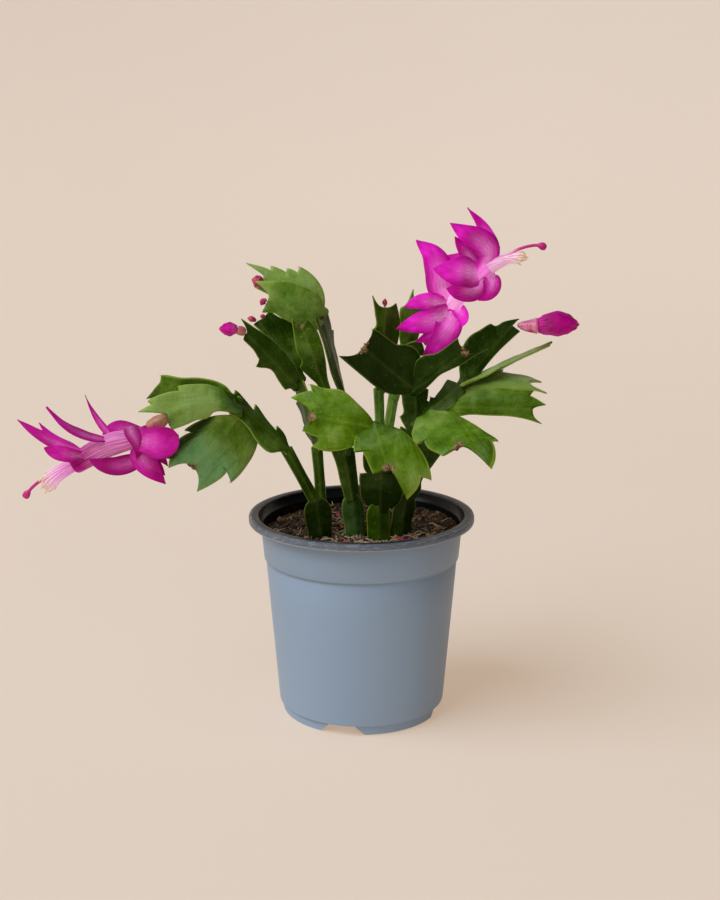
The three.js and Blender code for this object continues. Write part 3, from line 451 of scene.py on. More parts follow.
def potOutline():
    height, lip, inner, wall, floor = (pot[key] for key in ("height", "lip", "lipInner", "wall", "floor"))
    disc, channel, outer, foot, low = (
        pot[key] for key in ("disc", "channelInner", "channelOuter", "foot", "footHeight"))
    bodyFoot, bodyTop, step, collarFoot, collarTop = (
        pot[key] for key in ("bodyFoot", "bodyTop", "step", "collarFoot", "collarTop"))
    rim = height - pot["lipHeight"]
    return [
        (0, 0), (disc, 0), (channel, low - 0.4), (outer, low - 0.4), (outer + 0.5, 0), (foot - 0.4, 0),
        (foot, 0.4), (foot, low - 0.7), (foot + 0.25, low - 0.4), (bodyFoot - 0.5, low - 0.4),
        (bodyFoot - 0.1, low - 0.1), (bodyFoot + 0.05, low + 0.6), (bodyTop - 1.4, step - 18),
        (bodyTop - 0.1, step - 1.6), (bodyTop - 0.3, step - 1.2), (bodyTop - 0.2, step - 0.4),
        (collarFoot - 0.3, step - 0.1), (collarFoot, step + 0.3), (collarTop - 0.8, rim - 7),
        (collarTop, rim), (lip - 0.8, rim), (lip - 0.2, rim + 0.3), (lip, rim + 0.9), (lip, height - 1.1),
        (lip - 0.3, height - 0.3), (lip - 1, height), (inner + 0.8, height), (inner + 0.2, height - 0.25),
        (inner, height - 0.8), (inner - 0.6, rim + 0.2), (collarTop - wall, rim - 1.1),
        (collarFoot - wall, step), (bodyTop - wall, step - 0.7), (bodyFoot - wall, low + floor),
        (channel + 0.6, low + 1.2), (disc - 0.8, floor), (0, floor),
    ]


def potCutters():  # the notches in the foot and the drain holes
    shape = bmesh.new()
    for i in range(pot["notches"]):
        notch = bmesh.ops.create_cube(shape, size=1)["verts"]
        for vert in notch:
            top = vert.co.z > 0
            vert.co.x = math.copysign((pot["notchTop"] if top else pot["notchFoot"]) / 2, vert.co.x)
            vert.co.y = (-4.6 if vert.co.y < 0 else 1.4) - pot["channelOuter"]
            vert.co.z = pot["footHeight"] - 0.2 if top else -1
        turned = Matrix.Rotation(math.radians(pot["notchTurn"] + i * 360 / pot["notches"]), 3, "Z")
        bmesh.ops.rotate(shape, verts=notch, cent=(0, 0, 0), matrix=turned)
    ring, radius = (pot["channelInner"] + pot["channelOuter"]) / 2, pot["drainRadius"]
    for i in range(pot["drains"]):
        angle = (i + 0.5) * 2 * math.pi / pot["drains"]
        drain = bmesh.ops.create_cone(
            shape, cap_ends=True, segments=32, radius1=radius, radius2=radius, depth=6)["verts"]
        middle = (ring * math.cos(angle), ring * math.sin(angle), pot["footHeight"] + 0.5)
        bmesh.ops.translate(shape, verts=drain, vec=middle)
    bmesh.ops.recalc_face_normals(shape, faces=shape.faces)
    return shape


def potFinish():
    plastic = Finish("greyPlastic")
    where = plastic.place()
    x, y, z = plastic.parts(where)
    height, radius = z * 1000, plastic.maths("SQRT", x * x + y * y) * 1000
    rim, step = pot["height"] - pot["lipHeight"], pot["step"]
    cloudy, blotches = plastic.cloud(where, 28, 4, 0.6), plastic.cloud(where, 70, 5, 0.65)
    streaks = plastic.cloud(plastic.join(x * 3, y * 3, z * 0.3), 60, 3, 0.6)
    scuff = plastic.step(plastic.cloud(plastic.join(x, y, z * 6), 190, 3, 0.6), 0.62, 0.72)
    highlightStreaks = plastic.step(plastic.cloud(plastic.join(x * 5, y * 5, z * 40), 60, 4, 0.6), 0.5, 0.62)
    dust = plastic.cloud(where, 420, 4, 0.7)
    dusty = plastic.step(dust, 0.58, 0.7)
    # the lip has browner patches, more towards its left and right sides, streaks of painted highlight, a
    # band of painted highlight along its lower edge, and is dark inside
    sideways = plastic.step(plastic.size(x), 0.02, 0.05)
    low = 1 - plastic.step(height, rim + 0.3, rim + 1.2)
    inner = 1 - plastic.step(radius + 0.8 * blotches, pot["lip"] - 1.6, pot["lip"] - 0.2)
    lip = plastic.coats(
        (88, 99, 114), (plastic.step(blotches, 0.5, 0.66) * (0.1 + 0.6 * sideways), (124, 114, 100)),
        (highlightStreaks * 0.4, (160, 170, 182)), (low * (0.2 + 0.6 * cloudy), (186, 197, 208)),
        (inner * 0.95, (16, 19, 24)), (dusty * 0.25, (122, 112, 98)),
    )
    collar = plastic.step(height, step - 0.4, step + 0.6)
    shade = 0.06 + 0.16 * plastic.step(height, rim - 7.5, rim + 0.5)
    # painted shade: a dark line along the crease at the step
    crease = 1 - plastic.step(plastic.size(height - step), 0.1, 0.9)
    body = plastic.coats(
        (136, 163, 194), (cloudy, (144, 170, 198)), (0.3 * streaks, (150, 171, 195)),
        # the right side is painted darker and browner, as painted shade with warm reflected light
        (scuff * 0.12, (176, 184, 192)), (plastic.step(x, 0.016, 0.046) * 0.3, (104, 96, 84)),
        (collar * shade, (74, 82, 92)), (crease * 0.35, (58, 64, 72)),
        (plastic.step(height, rim - 0.3, rim + 0.1), lip), (dusty * 0.12, (170, 160, 146)),
    )
    plastic.wear(Base_Color=body, Roughness=0.36 + 0.2 * cloudy, Normal=plastic.bump(dust, 0.00006, 0.5))
    return plastic


def insideFinish():
    inside = Finish("blackWall", Specular_IOR_Level=0.1)
    where = inside.place()
    height = inside.parts(where)[2] * 1000
    soiled = inside.step(inside.cloud(where, 160, 5, 0.7), 0.5, 0.62) * (1 - inside.step(height, 84, 92))
    # a faint painted highlight along the ledge inside the lip
    ledgeHighlight = inside.step(height, 90, 91.4) * (1 - inside.step(height, 92.5, 94))
    colour = inside.coats((14, 17, 18), (soiled, (58, 44, 30)), (ledgeHighlight * 0.08, (66, 68, 68)))
    relief = inside.bump(inside.cloud(where, 600), 0.0001, 0.5)
    inside.wear(Base_Color=colour, Roughness=0.25 + 0.5 * soiled, Normal=relief)
    return inside


def makePot():
    shape = carve(turn(potOutline(), pot["steps"]), potCutters())
    mesh = finishPiece("growPot", shape, [potFinish(), insideFinish()], ["pot"]).data
    for face in mesh.polygons:
        outwards = face.normal.x * face.center.x + face.normal.y * face.center.y
        inner = outwards < 0 and math.hypot(face.center.x, face.center.y) < pot["lipInner"] * mm
        if inner or face.normal.z > 0.5 and face.center.z < 0.02:
            face.material_index = 1
    mesh.set_sharp_from_angle(angle=math.radians(38))


makePot()

# Each cutting has a stub in its hole in the soil. A segment goes from one point to another, its flat face
# lies along side, and its left and right edges are points of (length, width) with their teeth.
# tone goes from dark (0) to light (1), blue and cork tint it, and scar is the dry cork at its tip.
leafShape = {
    "grid": (64, 16), "stemGrid": (30, 12), "neck": 2.3, "root": 3, "buried": 7, "stub": (62, 86),
    "rib": 3.4, "tipRib": 2.2, "edge": 1.1, "ribWidth": 2.6, "wave": 0.9, "rim": 0.3,
    "scar": 4.2, "scabs": 34,
}
leftCutting = {
    "stub": {"at": (-19.5, -12.5), "half": 5.6, "thick": 2.4, "turn": 8},
    "segments": [
        # the old segment in the soil
        {"from": (-19.3, -12.6, 91), "to": (-20.5, -12, 104), "side": (1, 0.15, 0), "neck": 5.4, "root": 0,
         "rib": 4.4, "tipRib": 3.6, "tone": 0.1, "scar": 0,
         "left": [(4, -6), (9, -6), (12, -4.6), (14, -2.4)],
         "right": [(4, 6), (9, 6), (12, 4.6), (14, 2.4)]},
        # the front stem, which leans to the left
        {"stem": 2.3, "from": (-21.5, -12, 104), "to": (-34, -12, 128), "bow": 0.8, "tone": 0.42, "scar": 0},
        # the back stem
        {"stem": 2.2, "from": (-18.5, -10.5, 104), "to": (-20.5, -3.5, 127), "tone": 0.36, "scar": 0},
        # the narrow leaf at the end of the front stem
        {"from": (-34, -12, 128), "to": (-57, -15, 149.5), "side": (0.4, 0.8, 0.45), "tone": 0.46,
         "left": [(6.5, -8), (13.5, -8), (20.5, -5.5), (26, -5), (31, -6.5)],
         "right": [(3.5, 5.2), (9.4, 6.8), (8.8, 3.8), (15.5, 5.4), (23.2, 8.2), (22.4, 4.8), (28, 6.2),
                   (34.6, 6.6), (34, 4), (37.5, 3.4)]},
        # the narrow leaf at the end of the back stem
        {"from": (-20.5, -3.5, 127), "to": (-28.5, 3, 155.5), "side": (0.45, -0.9, 0.1), "tone": 0.36,
         "left": [(4, -5), (10.5, -9), (11.2, -5.5), (17, -7), (22.5, -9.5), (23.2, -6), (31.5, -5)],
         "right": [(4, 5), (12, 6.5), (20, 7), (31, 5)]},
        # the dark leaf at the far end
        {"from": (-56.5, -11.5, 150), "to": (-93.5, 4, 151), "side": (0, -0.15, 1), "bow": 1.5, "tone": 0.56,
         "left": [(8, -4), (16, -6), (24, -7.5), (37, -7.6), (45, -6.4)],
         "right": [(4.5, 7), (10, 9), (16, 9.6), (27, 8.6), (37.5, 8.6), (38, 6), (41, 2.6), (47.5, -4)]},
        # the leaf that carries the flower
        {"from": (-54.5, -17, 146.5), "to": (-85, -29, 146.5), "side": (0, 0.35, 1), "tipRib": 2.4,
         "root": 1.4, "bow": 1, "arch": 5, "tone": 0.42, "blue": 0.1, "tipTone": 1, "tipBlue": 0.3,
         "scar": 0.1,
         "left": [(6, 0.2), (13, -0.2), (14.4, -1.4), (20.5, -2.4), (24.5, -3.8), (31.2, -5.6)],
         "right": [(3.5, 5.4), (7, 9.6), (12.5, 12.4), (19.5, 13.2), (27, 12.8), (26.4, 10.8), (34, 10),
                   (40.4, 7.6), (39.2, 5.6), (45, 3.2)]},
        # the broad leaf that hangs down; its tip turns paler and bluer as a painted sheen, and a strip along
        # its upper edge is painted shade
        {"from": (-55, -16, 144), "to": (-75.5, -22, 122.5), "side": (-0.5, -0.3, 0.8), "bow": 1, "cup": 1,
         "tone": 0.74, "blue": 0.06, "tipTone": 1, "tipBlue": 1, "turn": 0.3, "shade": 0.7, "scar": 0.7,
         "left": [(-1, -7), (2.5, -15), (8, -17.6), (15, -18.8), (24.5, -18.8), (21.6, -13.2), (25, -13.6),
                  (31, -12.4), (37.5, -10)],
         "right": [(1, 2), (6, 8.2), (12, 12.6), (20.5, 15.2), (19.2, 12.2), (25, 14.4), (37, 14.8),
                   (34.2, 10.6), (37.8, 7.8)]},
        # the leaf that carries the bud
        {"from": (-30.5, 2, 155), "to": (-52, -2, 179), "side": (0.75, 0.3, 0.6), "bow": 0.6, "tone": 0.36,
         "left": [(1.5, -4.5), (6.5, -4), (13, -3), (19, -7), (20, -3.6), (25, -2.6), (31.5, -2.6)],
         "right": [(0.5, 4), (11.5, 6.5), (23.5, 6.5), (31.5, 4.6), (39, 3)]},
        # the leaf behind it
        {"from": (-28.5, 4.5, 158), "to": (-48, 17, 182), "side": (0.75, 0.55, 0.6), "arch": 3, "tone": 0.44,
         "left": [(6.5, -1.4), (20, -1), (27.5, -1.6), (33, -2.6)],
         "right": [(6.5, 5.5), (12.5, 10), (19, 13), (23.5, 13.6), (30, 9.4), (35, 7.4)]},
    ],
}
middleCutting = {
    "stub": {"at": (-3.2, -10.8), "half": 4.6, "thick": 2.2, "turn": 5},
    "segments": [
        # the old segment in the soil
        {"from": (-3.2, -10.8, 91), "to": (-4.5, -10, 106), "side": (1, 0.1, 0), "neck": 4.4, "root": 0,
         "rib": 3.8, "tipRib": 3.4, "tone": 0.36, "blue": 0.1, "scar": 0,
         "left": [(5, -4.8), (10, -4.8), (13.5, -3.8), (16, -2)],
         "right": [(5, 4.8), (10, 4.6), (13.5, 3.6), (16, 2)]},
        # the segment that forks
        {"from": (-4.5, -10, 105), "to": (-8.5, -8, 127.5), "side": (1, 0.2, 0), "neck": 3.2, "rib": 4.2,
         "tipRib": 3.4, "tone": 0.34, "scar": 0,
         "left": [(8, -3.8), (17, -4.2), (22.5, -5.2)],
         "right": [(8, 4), (16, 4.6), (22, 5)]},
        # the fork to the front leaf
        {"stem": 1.9, "from": (-9.5, -7.5, 126.5), "to": (-17, 7, 153.5), "tone": 0.4, "cork": 0.05},
        # the fork to the back leaf
        {"stem": 1.9, "from": (-7, -8, 126.5), "to": (-9.5, 14, 149), "tone": 0.44, "cork": 0.05},
        # the front leaf
        {"from": (-17, 5.2, 153), "to": (-27.5, 6, 182), "side": (0.95, 0, 0.25), "tone": 0.5, "cork": 0.21,
         "scar": 0.15,
         "left": [(2.5, -2.5), (7, -4.6), (13, -7.2), (14.5, -5.6), (19.5, -6), (27.5, -4.6), (35, -3)],
         "right": [(3, 2.5), (12, 4.6), (21.5, 5.8), (30, 4.8), (32.5, 3.6)]},
        # the back leaf, seen on its edge
        {"from": (-9.5, 14, 148.5), "to": (-19, 21, 183.5), "side": (0.35, 0.9, 0.1), "tone": 0.45,
         "cork": 0.2,
         "left": [(6.5, -4), (18.5, -5), (29, -5.5), (36.5, -6)],
         "right": [(3, 4), (14, 6), (24.5, 7), (30, 9.5), (30.6, 7), (39, 7.5)]},
        # the lower leaf of the pair at the top
        {"from": (-20.5, 17.5, 181), "to": (-42.5, 12, 193), "side": (0.5, 0.35, 0.85), "bow": 1.5,
         "arch": 2, "tone": 0.92, "blue": 0.15,
         "left": [(4, -3.4), (10.5, -5), (17, -5), (21, -4.6), (26, -6.6)],
         "right": [(0.5, 7), (6, 12.5), (14, 12.4), (20, 11.6), (25, 9.6), (34.5, 5)]},
        # the upper leaf of the pair
        {"from": (-18.5, 23, 186), "to": (-45.5, 26, 202), "side": (0.45, 0.3, 0.85), "bow": 1, "tone": 1,
         "blue": 0.25,
         "left": [(4, -5), (15, -6.4), (23, -6), (33, -6.5)],
         "right": [(1.5, 5), (5, 8.8), (9.5, 11.2), (14.5, 12.4), (19.8, 12.2), (19.2, 9.4), (24.2, 8.8),
                   (24, 6.8), (31.4, 5.8), (30.4, 3.8), (42.2, 1.2)]},
    ],
}
frontCutting = {
    "stub": {"at": (7.8, -17.2), "half": 5.2, "thick": 2.4, "turn": 2},
    "segments": [
        # the old segment in the soil
        {"from": (7.8, -17.2, 91), "to": (7.4, -18, 103.5), "side": (1, 0.05, 0), "neck": 5, "root": 0,
         "rib": 4.4, "tipRib": 3.6, "tone": 0.5, "scar": 0.35,
         "left": [(4, -5), (8, -5.1), (11, -4.4), (13.5, -2.8)],
         "right": [(4, 5), (8, 5.2), (11, 4.5), (13.5, 2.8)]},
        # the squat segment on it
        {"from": (8.5, -18, 102), "to": (8.5, -22, 119), "side": (1, 0, 0), "neck": 3.6, "tone": 0.22,
         "cork": 0.1,
         "left": [(1.5, -6), (6, -8.6), (12, -9.2), (17.5, -9), (18, -6)],
         "right": [(1.5, 7), (7, 10), (13, 10.4), (18, 9.4)]},
        # the segment behind the light leaves
        {"from": (8.5, -21.8, 118), "to": (8, -27, 141.5), "side": (1, 0.1, 0), "tone": 0.26,
         "left": [(2, -6), (9, -7.5), (16.5, -6), (24, -5)],
         "right": [(2, 6.4), (9, 8), (18, 6.4), (24, 5)]},
        # the light leaf that reaches to the left
        {"from": (5, -26.6, 141), "to": (-22.5, -25.5, 146), "side": (0.1, 0.35, 1), "bow": 1.5, "cup": -1,
         "tone": 0.74, "scar": 0.8,
         "left": [(7, -9.4), (13.5, -12.8), (20, -13.8), (24.8, -12.8), (22.8, -10.4), (23, -8.2),
                  (30.5, -6.6)],
         "right": [(1, 3.4), (8.5, 9), (16, 13.4), (25, 13.2), (30.8, 14), (29.4, 11.2), (33.5, 10),
                   (38.2, 7)]},
        # the light leaf that hangs towards the front
        {"from": (6, -28, 142), "to": (11.5, -40, 126), "side": (-1, 0, -0.4), "bow": 2, "cup": -1,
         "tone": 0.66, "scar": 0.7,
         "left": [(1, -4), (5.5, -9.4), (10.5, -12.8), (17.5, -15.6), (24, -16.8), (30, -15.8),
                  (27.8, -12.2), (30.5, -9.8), (34, -3)],
         "right": [(-2, 7), (3, 10), (9.2, 11.8), (8.6, 8), (14, 7.6), (20.5, 7)]},
    ],
}
rightCutting = {
    "stub": {"at": (18, -12), "half": 5.4, "thick": 2.3, "turn": 22},
    "segments": [
        # the old segment in the soil
        {"from": (18, -12, 91), "to": (20, -9.5, 104.5), "side": (0.93, 0.37, 0), "neck": 5.2, "root": 0,
         "rib": 4.2, "tipRib": 3.6, "tone": 0.34, "cork": 0.05, "scar": 0,
         "left": [(4, -5), (8, -5), (12, -4), (14.5, -2.4)],
         "right": [(4, 5), (9, 5.6), (13, 5.2), (15.5, 3.2)]},
        # the broad segment on it
        {"from": (20, -9.3, 102.5), "to": (28.5, -6, 132.5), "side": (0.9, 0.35, 0.3), "neck": 3, "rib": 4,
         "tone": 0.3, "scar": 0,
         "left": [(4.5, -5), (13.5, -7.5), (22.5, -9.5), (29, -13), (33.5, -12.5)],
         "right": [(3, 4.4), (8, 5.6), (10, 5), (19.5, 8.5), (27.5, 11.5)]},
        # the segment under the dark leaves
        {"from": (24.8, -6.6, 131.5), "to": (24, -1, 154), "side": (1, 0.2, 0), "tone": 0.28, "scar": 0,
         "left": [(3, -3.4), (10.5, -6.8), (11.5, -5.6), (17, -5.6), (22, -6)],
         "right": [(3, 4.4), (10, 5.8), (17, 6.4), (17.5, 5.6), (22.5, 6.6)]},
        # the dark leaf that reaches to the left
        {"from": (24, -2.5, 153.5), "to": (1, -8, 173.5), "side": (0.6, 0.2, 0.75), "bow": -1.5, "cup": 1,
         "tone": 0.2, "scar": 0.6,
         "left": [(3, -5), (8.5, -8.5), (16, -9.8), (23.5, -9.8), (31, -9.8), (38.5, -9.8)],
         "right": [(5.5, 8), (7.5, 13.4), (11.5, 14.8), (16.5, 13.2), (19.5, 10.8), (25.5, 10.2), (33.6, 9),
                   (32, 6.4)]},
        # the dark leaf that reaches to the right
        {"from": (24.5, -3, 153.5), "to": (46.5, -12, 172.5), "side": (0.5, -0.2, -0.85), "bow": -1,
         "arch": -2, "tone": 0.27, "scar": 0.6,
         "left": [(4.5, -7), (8, -10), (13, -10), (18, -7.6), (24, -7), (31, -6.8), (29.6, -4)],
         "right": [(7, 1.8), (13.5, 1), (19.5, 2), (26, 3.2), (33, 3.6), (40.5, 5)]},
        # the short segment under the fan
        {"from": (29, -5.5, 142), "to": (45.5, 1, 154.5), "side": (0.42, -0.75, -0.5), "root": 8,
         "tone": 0.32, "cork": 0.1, "scar": 0,
         "left": [(3, -4), (5.5, -7.5), (6.3, -4.8), (8.4, -6.6), (9.4, -4.6), (15, -6), (20, -7.5),
                  (21, -4.6)],
         "right": [(4, 4), (10, 5), (14, 6.4), (20, 4.4)]},
        # the fan's front leaf
        {"from": (32, -8.4, 143.6), "to": (42.5, -35, 134.5), "side": (-1, -0.2, -0.5), "root": 4, "bow": 1,
         "tone": 0.67, "scar": 0.8,
         "left": [(3.5, -5.2), (11.5, -8.4), (20.5, -10.8), (29, -13), (37.6, -15.2), (36.2, -12.8),
                  (41.5, -11.6), (45.5, -9.2), (48.2, -5.8)],
         "right": [(-3, 6.5), (2, 10.4), (8.5, 13.6), (15.6, 14.4), (15, 10.4), (21.5, 11.2), (30, 8.2)]},
        # the fan's lowest leaf to the right
        {"from": (39.5, -4, 145.5), "to": (76.5, -14, 146.5), "side": (0.1, -0.45, -1), "bow": 1, "arch": -4,
         "tone": 0.6,
         "left": [(3, -3), (8, -6.4), (15, -9), (23, -9.6), (31, -8.8), (38.4, -8.6), (37, -6.2),
                  (44.2, -2.6)],
         "right": [(4, 3.5), (10.5, 2.8), (20.5, 3), (29.5, 3.2), (36.5, 4.2), (43, 6)]},
        # the leaf behind that one
        {"from": (42, 1.5, 150), "to": (78, 12, 153.5), "side": (0.1, -0.85, -0.35), "bow": 2.5, "tone": 1,
         "blue": 0.2,
         "left": [(5.5, -4.8), (13, -8.6), (21, -11.4), (29.8, -12.8), (28.2, -10), (37.5, -8.4), (46, -4)],
         "right": [(3, 4), (10, 5), (20, 6), (22, 7.4), (22.8, 5), (34, 5.6), (44, 6.4)]},
        # the slim leaf, seen on its edge
        {"from": (47, 2.5, 155), "to": (87.5, 28, 169), "side": (-0.1, -1, 0.05), "bow": 0.5, "tone": 0.95,
         "blue": 0.4, "cork": 0.26,
         "left": [(8, -5), (17.5, -8.5), (30, -10), (37, -10.6), (38, -6), (55.5, -2)],
         "right": [(9.5, 4.4), (18, 6), (19, 4.6), (30, 5), (50, 3)]},
        # the fan's top leaf
        {"from": (46.5, 2, 155.5), "to": (70, 20, 179.5), "side": (0.7, -0.2, -0.6), "bow": -1, "tone": 0.3,
         "left": [(6, -6.5), (13.5, -10.6), (21, -11.6), (27, -9.8), (32.6, -8), (33.2, -5.8), (37, -4),
                  (43, 0.5)],
         "right": [(6, 3), (13, 2.6), (22.5, 2.6), (33, 3.6), (38.5, 4.4)]},
    ],
}
backCutting = {
    "stub": {"at": (9.3, 12), "half": 3.2, "thick": 2.6, "turn": 0},
    "segments": [
        # the old stem in the soil
        {"stem": 2.6, "from": (9, 12, 88), "to": (9.5, 14, 116), "neck": 2.7, "root": 0, "tone": 0.34,
         "cork": 0.1},
        # the fork to the leaf with two horns
        {"stem": 2, "from": (9.5, 14, 114.5), "to": (8, 22.5, 149.5), "tone": 0.68, "blue": 0.12,
         "cork": 0.1, "scar": 0},
        # the fork to the flower
        {"stem": 2.1, "from": (10, 14.5, 115), "to": (15.5, 22, 147), "tone": 0.86, "blue": 0.16,
         "cork": 0.1, "scar": 0},
        # the stem under the flower
        {"stem": 2.4, "from": (15.5, 21.5, 146), "to": (21, 27.5, 168), "side": (0.8, -0.4, 0), "tone": 0.86,
         "blue": 0.16, "cork": 0.1, "scar": 0},
        # the leaf with two horns
        {"from": (9, 22.5, 149), "to": (11, 28, 187), "side": (0.9, 0.4, 0), "tone": 0.46,
         "left": [(8.5, -3.6), (21, -4.4), (28, -5.6), (29.4, -4.2), (36, -4.8), (44, -6.5)],
         "right": [(8.5, 4), (19, 7), (26.5, 8), (35.5, 7.4), (41, 5.5)]},
        # the leaf behind the flower
        {"from": (21, 27.5, 167.5), "to": (25, 36, 191), "side": (1, 0.3, 0), "tone": 0.5,
         "left": [(5.5, -4), (13.5, -5), (19, -5.4), (20.5, -3.8), (29, -1)],
         "right": [(4.5, 4.4), (13, 5.5), (21.5, 5.6), (28, 4.6)]},
        # the short segment that carries the flower
        {"from": (20.5, 27.5, 166.5), "to": (29, 24.5, 169), "side": (-0.2, 0.2, -1), "tone": 0.35,
         "left": [(3, -3.4), (9, -3.6)],
         "right": [(3, 3.4), (9, 3.6)]},
    ],
}
cuttings = {
    "left": leftCutting, "middle": middleCutting, "front": frontCutting,
    "right": rightCutting, "back": backCutting,
}

soil = {
    "level": 87, "rings": 56, "steps": 150, "clod": 0.9, "crumb": 0.35, "gap": 0.3, "seed": 4,
    "clods": 260, "clodSize": (0.7, 1.7), "clodReach": 42.5,
    "crumbs": 1900, "crumbSize": (0.25, 0.7), "crumbReach": 43.6,
    "fibres": 270, "fibreLength": (3, 11), "fibreSize": (0.12, 0.36), "fibreReach": 40, "fibreEnd": 43.4,
}


def roughSoil(x, y):  # the top of the soil with its lumps, clods, crumbs and grit
    lumps = 0.7 * math.sin(x * 0.37 + 1) * math.cos(y * 0.33) + 0.4 * math.sin(x * 0.8 + y * 0.6)
    clods = noise.noise(Vector((x * 0.28, y * 0.28, 3))) * soil["clod"]
    crumbs = noise.noise(Vector((x * 0.9, y * 0.9, 7))) * soil["crumb"]
    grit = noise.noise(Vector((x * 2.1, y * 2.1, 9))) * soil["crumb"] * 0.6
    return soil["level"] + (0.02 * x + 0.012 * y) + lumps + clods + crumbs + grit


def soilFinish():
    peat = Finish("darkPeat", Roughness=0.95)
    where = peat.place()
    grains, threads = peat.cells(where, 700), peat.cloud(where, 900, 4, 0.75, 2)
    patches = peat.cloud(where, 130, 5, 0.7)
    colour = peat.coats(
        peat.ramp(patches, (0.3, (15, 9, 4)), (0.5, (46, 30, 16)), (0.72, (114, 80, 46))),
        (peat.step(threads, 0.58, 0.68) * 0.6, (146, 114, 76)),
        (peat.step(grains, 0.35, 0.1) * 0.3, (20, 13, 9)),
    )
    peat.wear(Base_Color=colour, Normal=peat.bump(threads, 0.0006, 0.8, peat.bump(grains, 0.0005, 0.6)))
    return peat


def stubShape(shape, stub, low, high, margin=0):
    turned = Matrix.Rotation(math.radians(stub["turn"]), 3, "Z")
    wide, thick = stub["half"] + margin, stub["thick"] + margin
    for vert in stampInto(shape, tube, 2, 24):
        flat = turned @ Vector((vert.co.x * wide, vert.co.y * thick, 0))
        vert.co = (stub["at"][0] + flat.x, stub["at"][1] + flat.y, high if vert.co.z > 0 else low)


def makeSoil():
    wall, low, step, level, rings = pot["wall"], pot["footHeight"], pot["step"], soil["level"], soil["rings"]
    edge = pot["collarFoot"] - wall + 0.8
    outline = [
        (0, pot["floor"] + 0.3), (pot["disc"] - 1.1, pot["floor"] + 0.3),
        (pot["channelInner"] + 0.2, low + 1.55), (pot["bodyFoot"] - wall - 0.4, low + pot["floor"] + 0.3),
        (pot["bodyTop"] - wall - 0.3, step - 0.6), (pot["collarFoot"] - wall - 0.3, step + 0.1),
        (edge, level - 2),
    ]
    shape = turn(outline + [(edge * (1 - i / rings), level) for i in range(rings + 1)], soil["steps"])
    for vert in shape.verts:
        if vert.co.z > level - 0.5:
            vert.co.z = roughSoil(vert.co.x, vert.co.y)
    holes = bmesh.new()
    for cutting in cuttings.values():
        stubShape(holes, cutting["stub"], leafShape["stub"][0], pot["height"], soil["gap"])
    bmesh.ops.recalc_face_normals(holes, faces=holes.faces)
    piece = finishPiece("peat", carve(shape, holes), [soilFinish()], ["soil"])
    piece.data.set_sharp_from_angle(angle=math.radians(60))


def nearStub(x, y, margin):  # is a place on the soil taken by a cutting?
    for cutting in cuttings.values():
        stub = cutting["stub"]
        away = Vector((x - stub["at"][0], y - stub["at"][1]))
        away = Matrix.Rotation(math.radians(-stub["turn"]), 2) @ away
        if math.hypot(away.x / (stub["half"] + margin), away.y / (stub["thick"] + margin)) < 1:
            return True
    return False


def spotOnSoil(dice, reach):
    while True:
        x, y = dice.uniform(-reach, reach), dice.uniform(-reach, reach)
        if math.hypot(x, y) < reach and not nearStub(x, y, 0.6):
            return x, y


def crumbFinish():
    crumb = Finish("peatCrumb", Roughness=0.95)
    where = crumb.place()
    tone, warm = crumb.painted("crumbLook")[:2]
    crumb.wear(Normal=crumb.bump(crumb.cloud(where, 1500), 0.0003, 0.7), Base_Color=crumb.coats(
        (24, 14, 7), (warm, (84, 54, 28)), (crumb.step(tone, 0.55, 1), (172, 134, 90)),
        (0.5 * crumb.cloud(where, 900, 4, 0.7), (22, 14, 8)),
    ))
    return crumb


def makeCrumbs():
    dice = random.Random(soil["seed"])
    shape = newShape("crumbLook")
    look = paints(shape, "crumbLook")
    for i in range(soil["clods"] + soil["crumbs"]):
        kind = "clod" if i < soil["clods"] else "crumb"
        x, y = spotOnSoil(dice, soil[kind + "Reach"])
        size = dice.uniform(*soil[kind + "Size"])
        tone = (dice.random(), dice.random(), dice.random())
        seed = Vector((dice.uniform(0, 50), dice.uniform(0, 50), 0))
        flat, spin = dice.uniform(0.5, 0.9), dice.uniform(0, 6.3)
        spun = Matrix.Rotation(spin, 3, Vector((dice.uniform(-1, 1), dice.uniform(-1, 1), 1)))
        middle = Vector((x, y, roughSoil(x, y) + size * 0.25))
        for vert in stampInto(shape, lump, 2 if kind == "clod" else 1):
            knob = vert.co * size * (1 + 0.7 * noise.noise(vert.co * 1.1 + seed))
            knob.z *= flat
            vert.co, vert[look] = middle + spun @ knob, tone
    finishPiece("soilCrumbs", shape, [crumbFinish()], flat=True)


def fibreFinish():
    fibre = Finish("rootFibre", Roughness=0.8)
    tone, warm = fibre.painted("crumbLook")[:2]
    fibre.wear(Base_Color=fibre.coats(
        (84, 58, 36), (tone, (226, 206, 172)), (warm * 0.4, (126, 82, 50)),
        (0.4 * fibre.cloud(fibre.place(), 700), (52, 38, 26)),
    ))
    return fibre


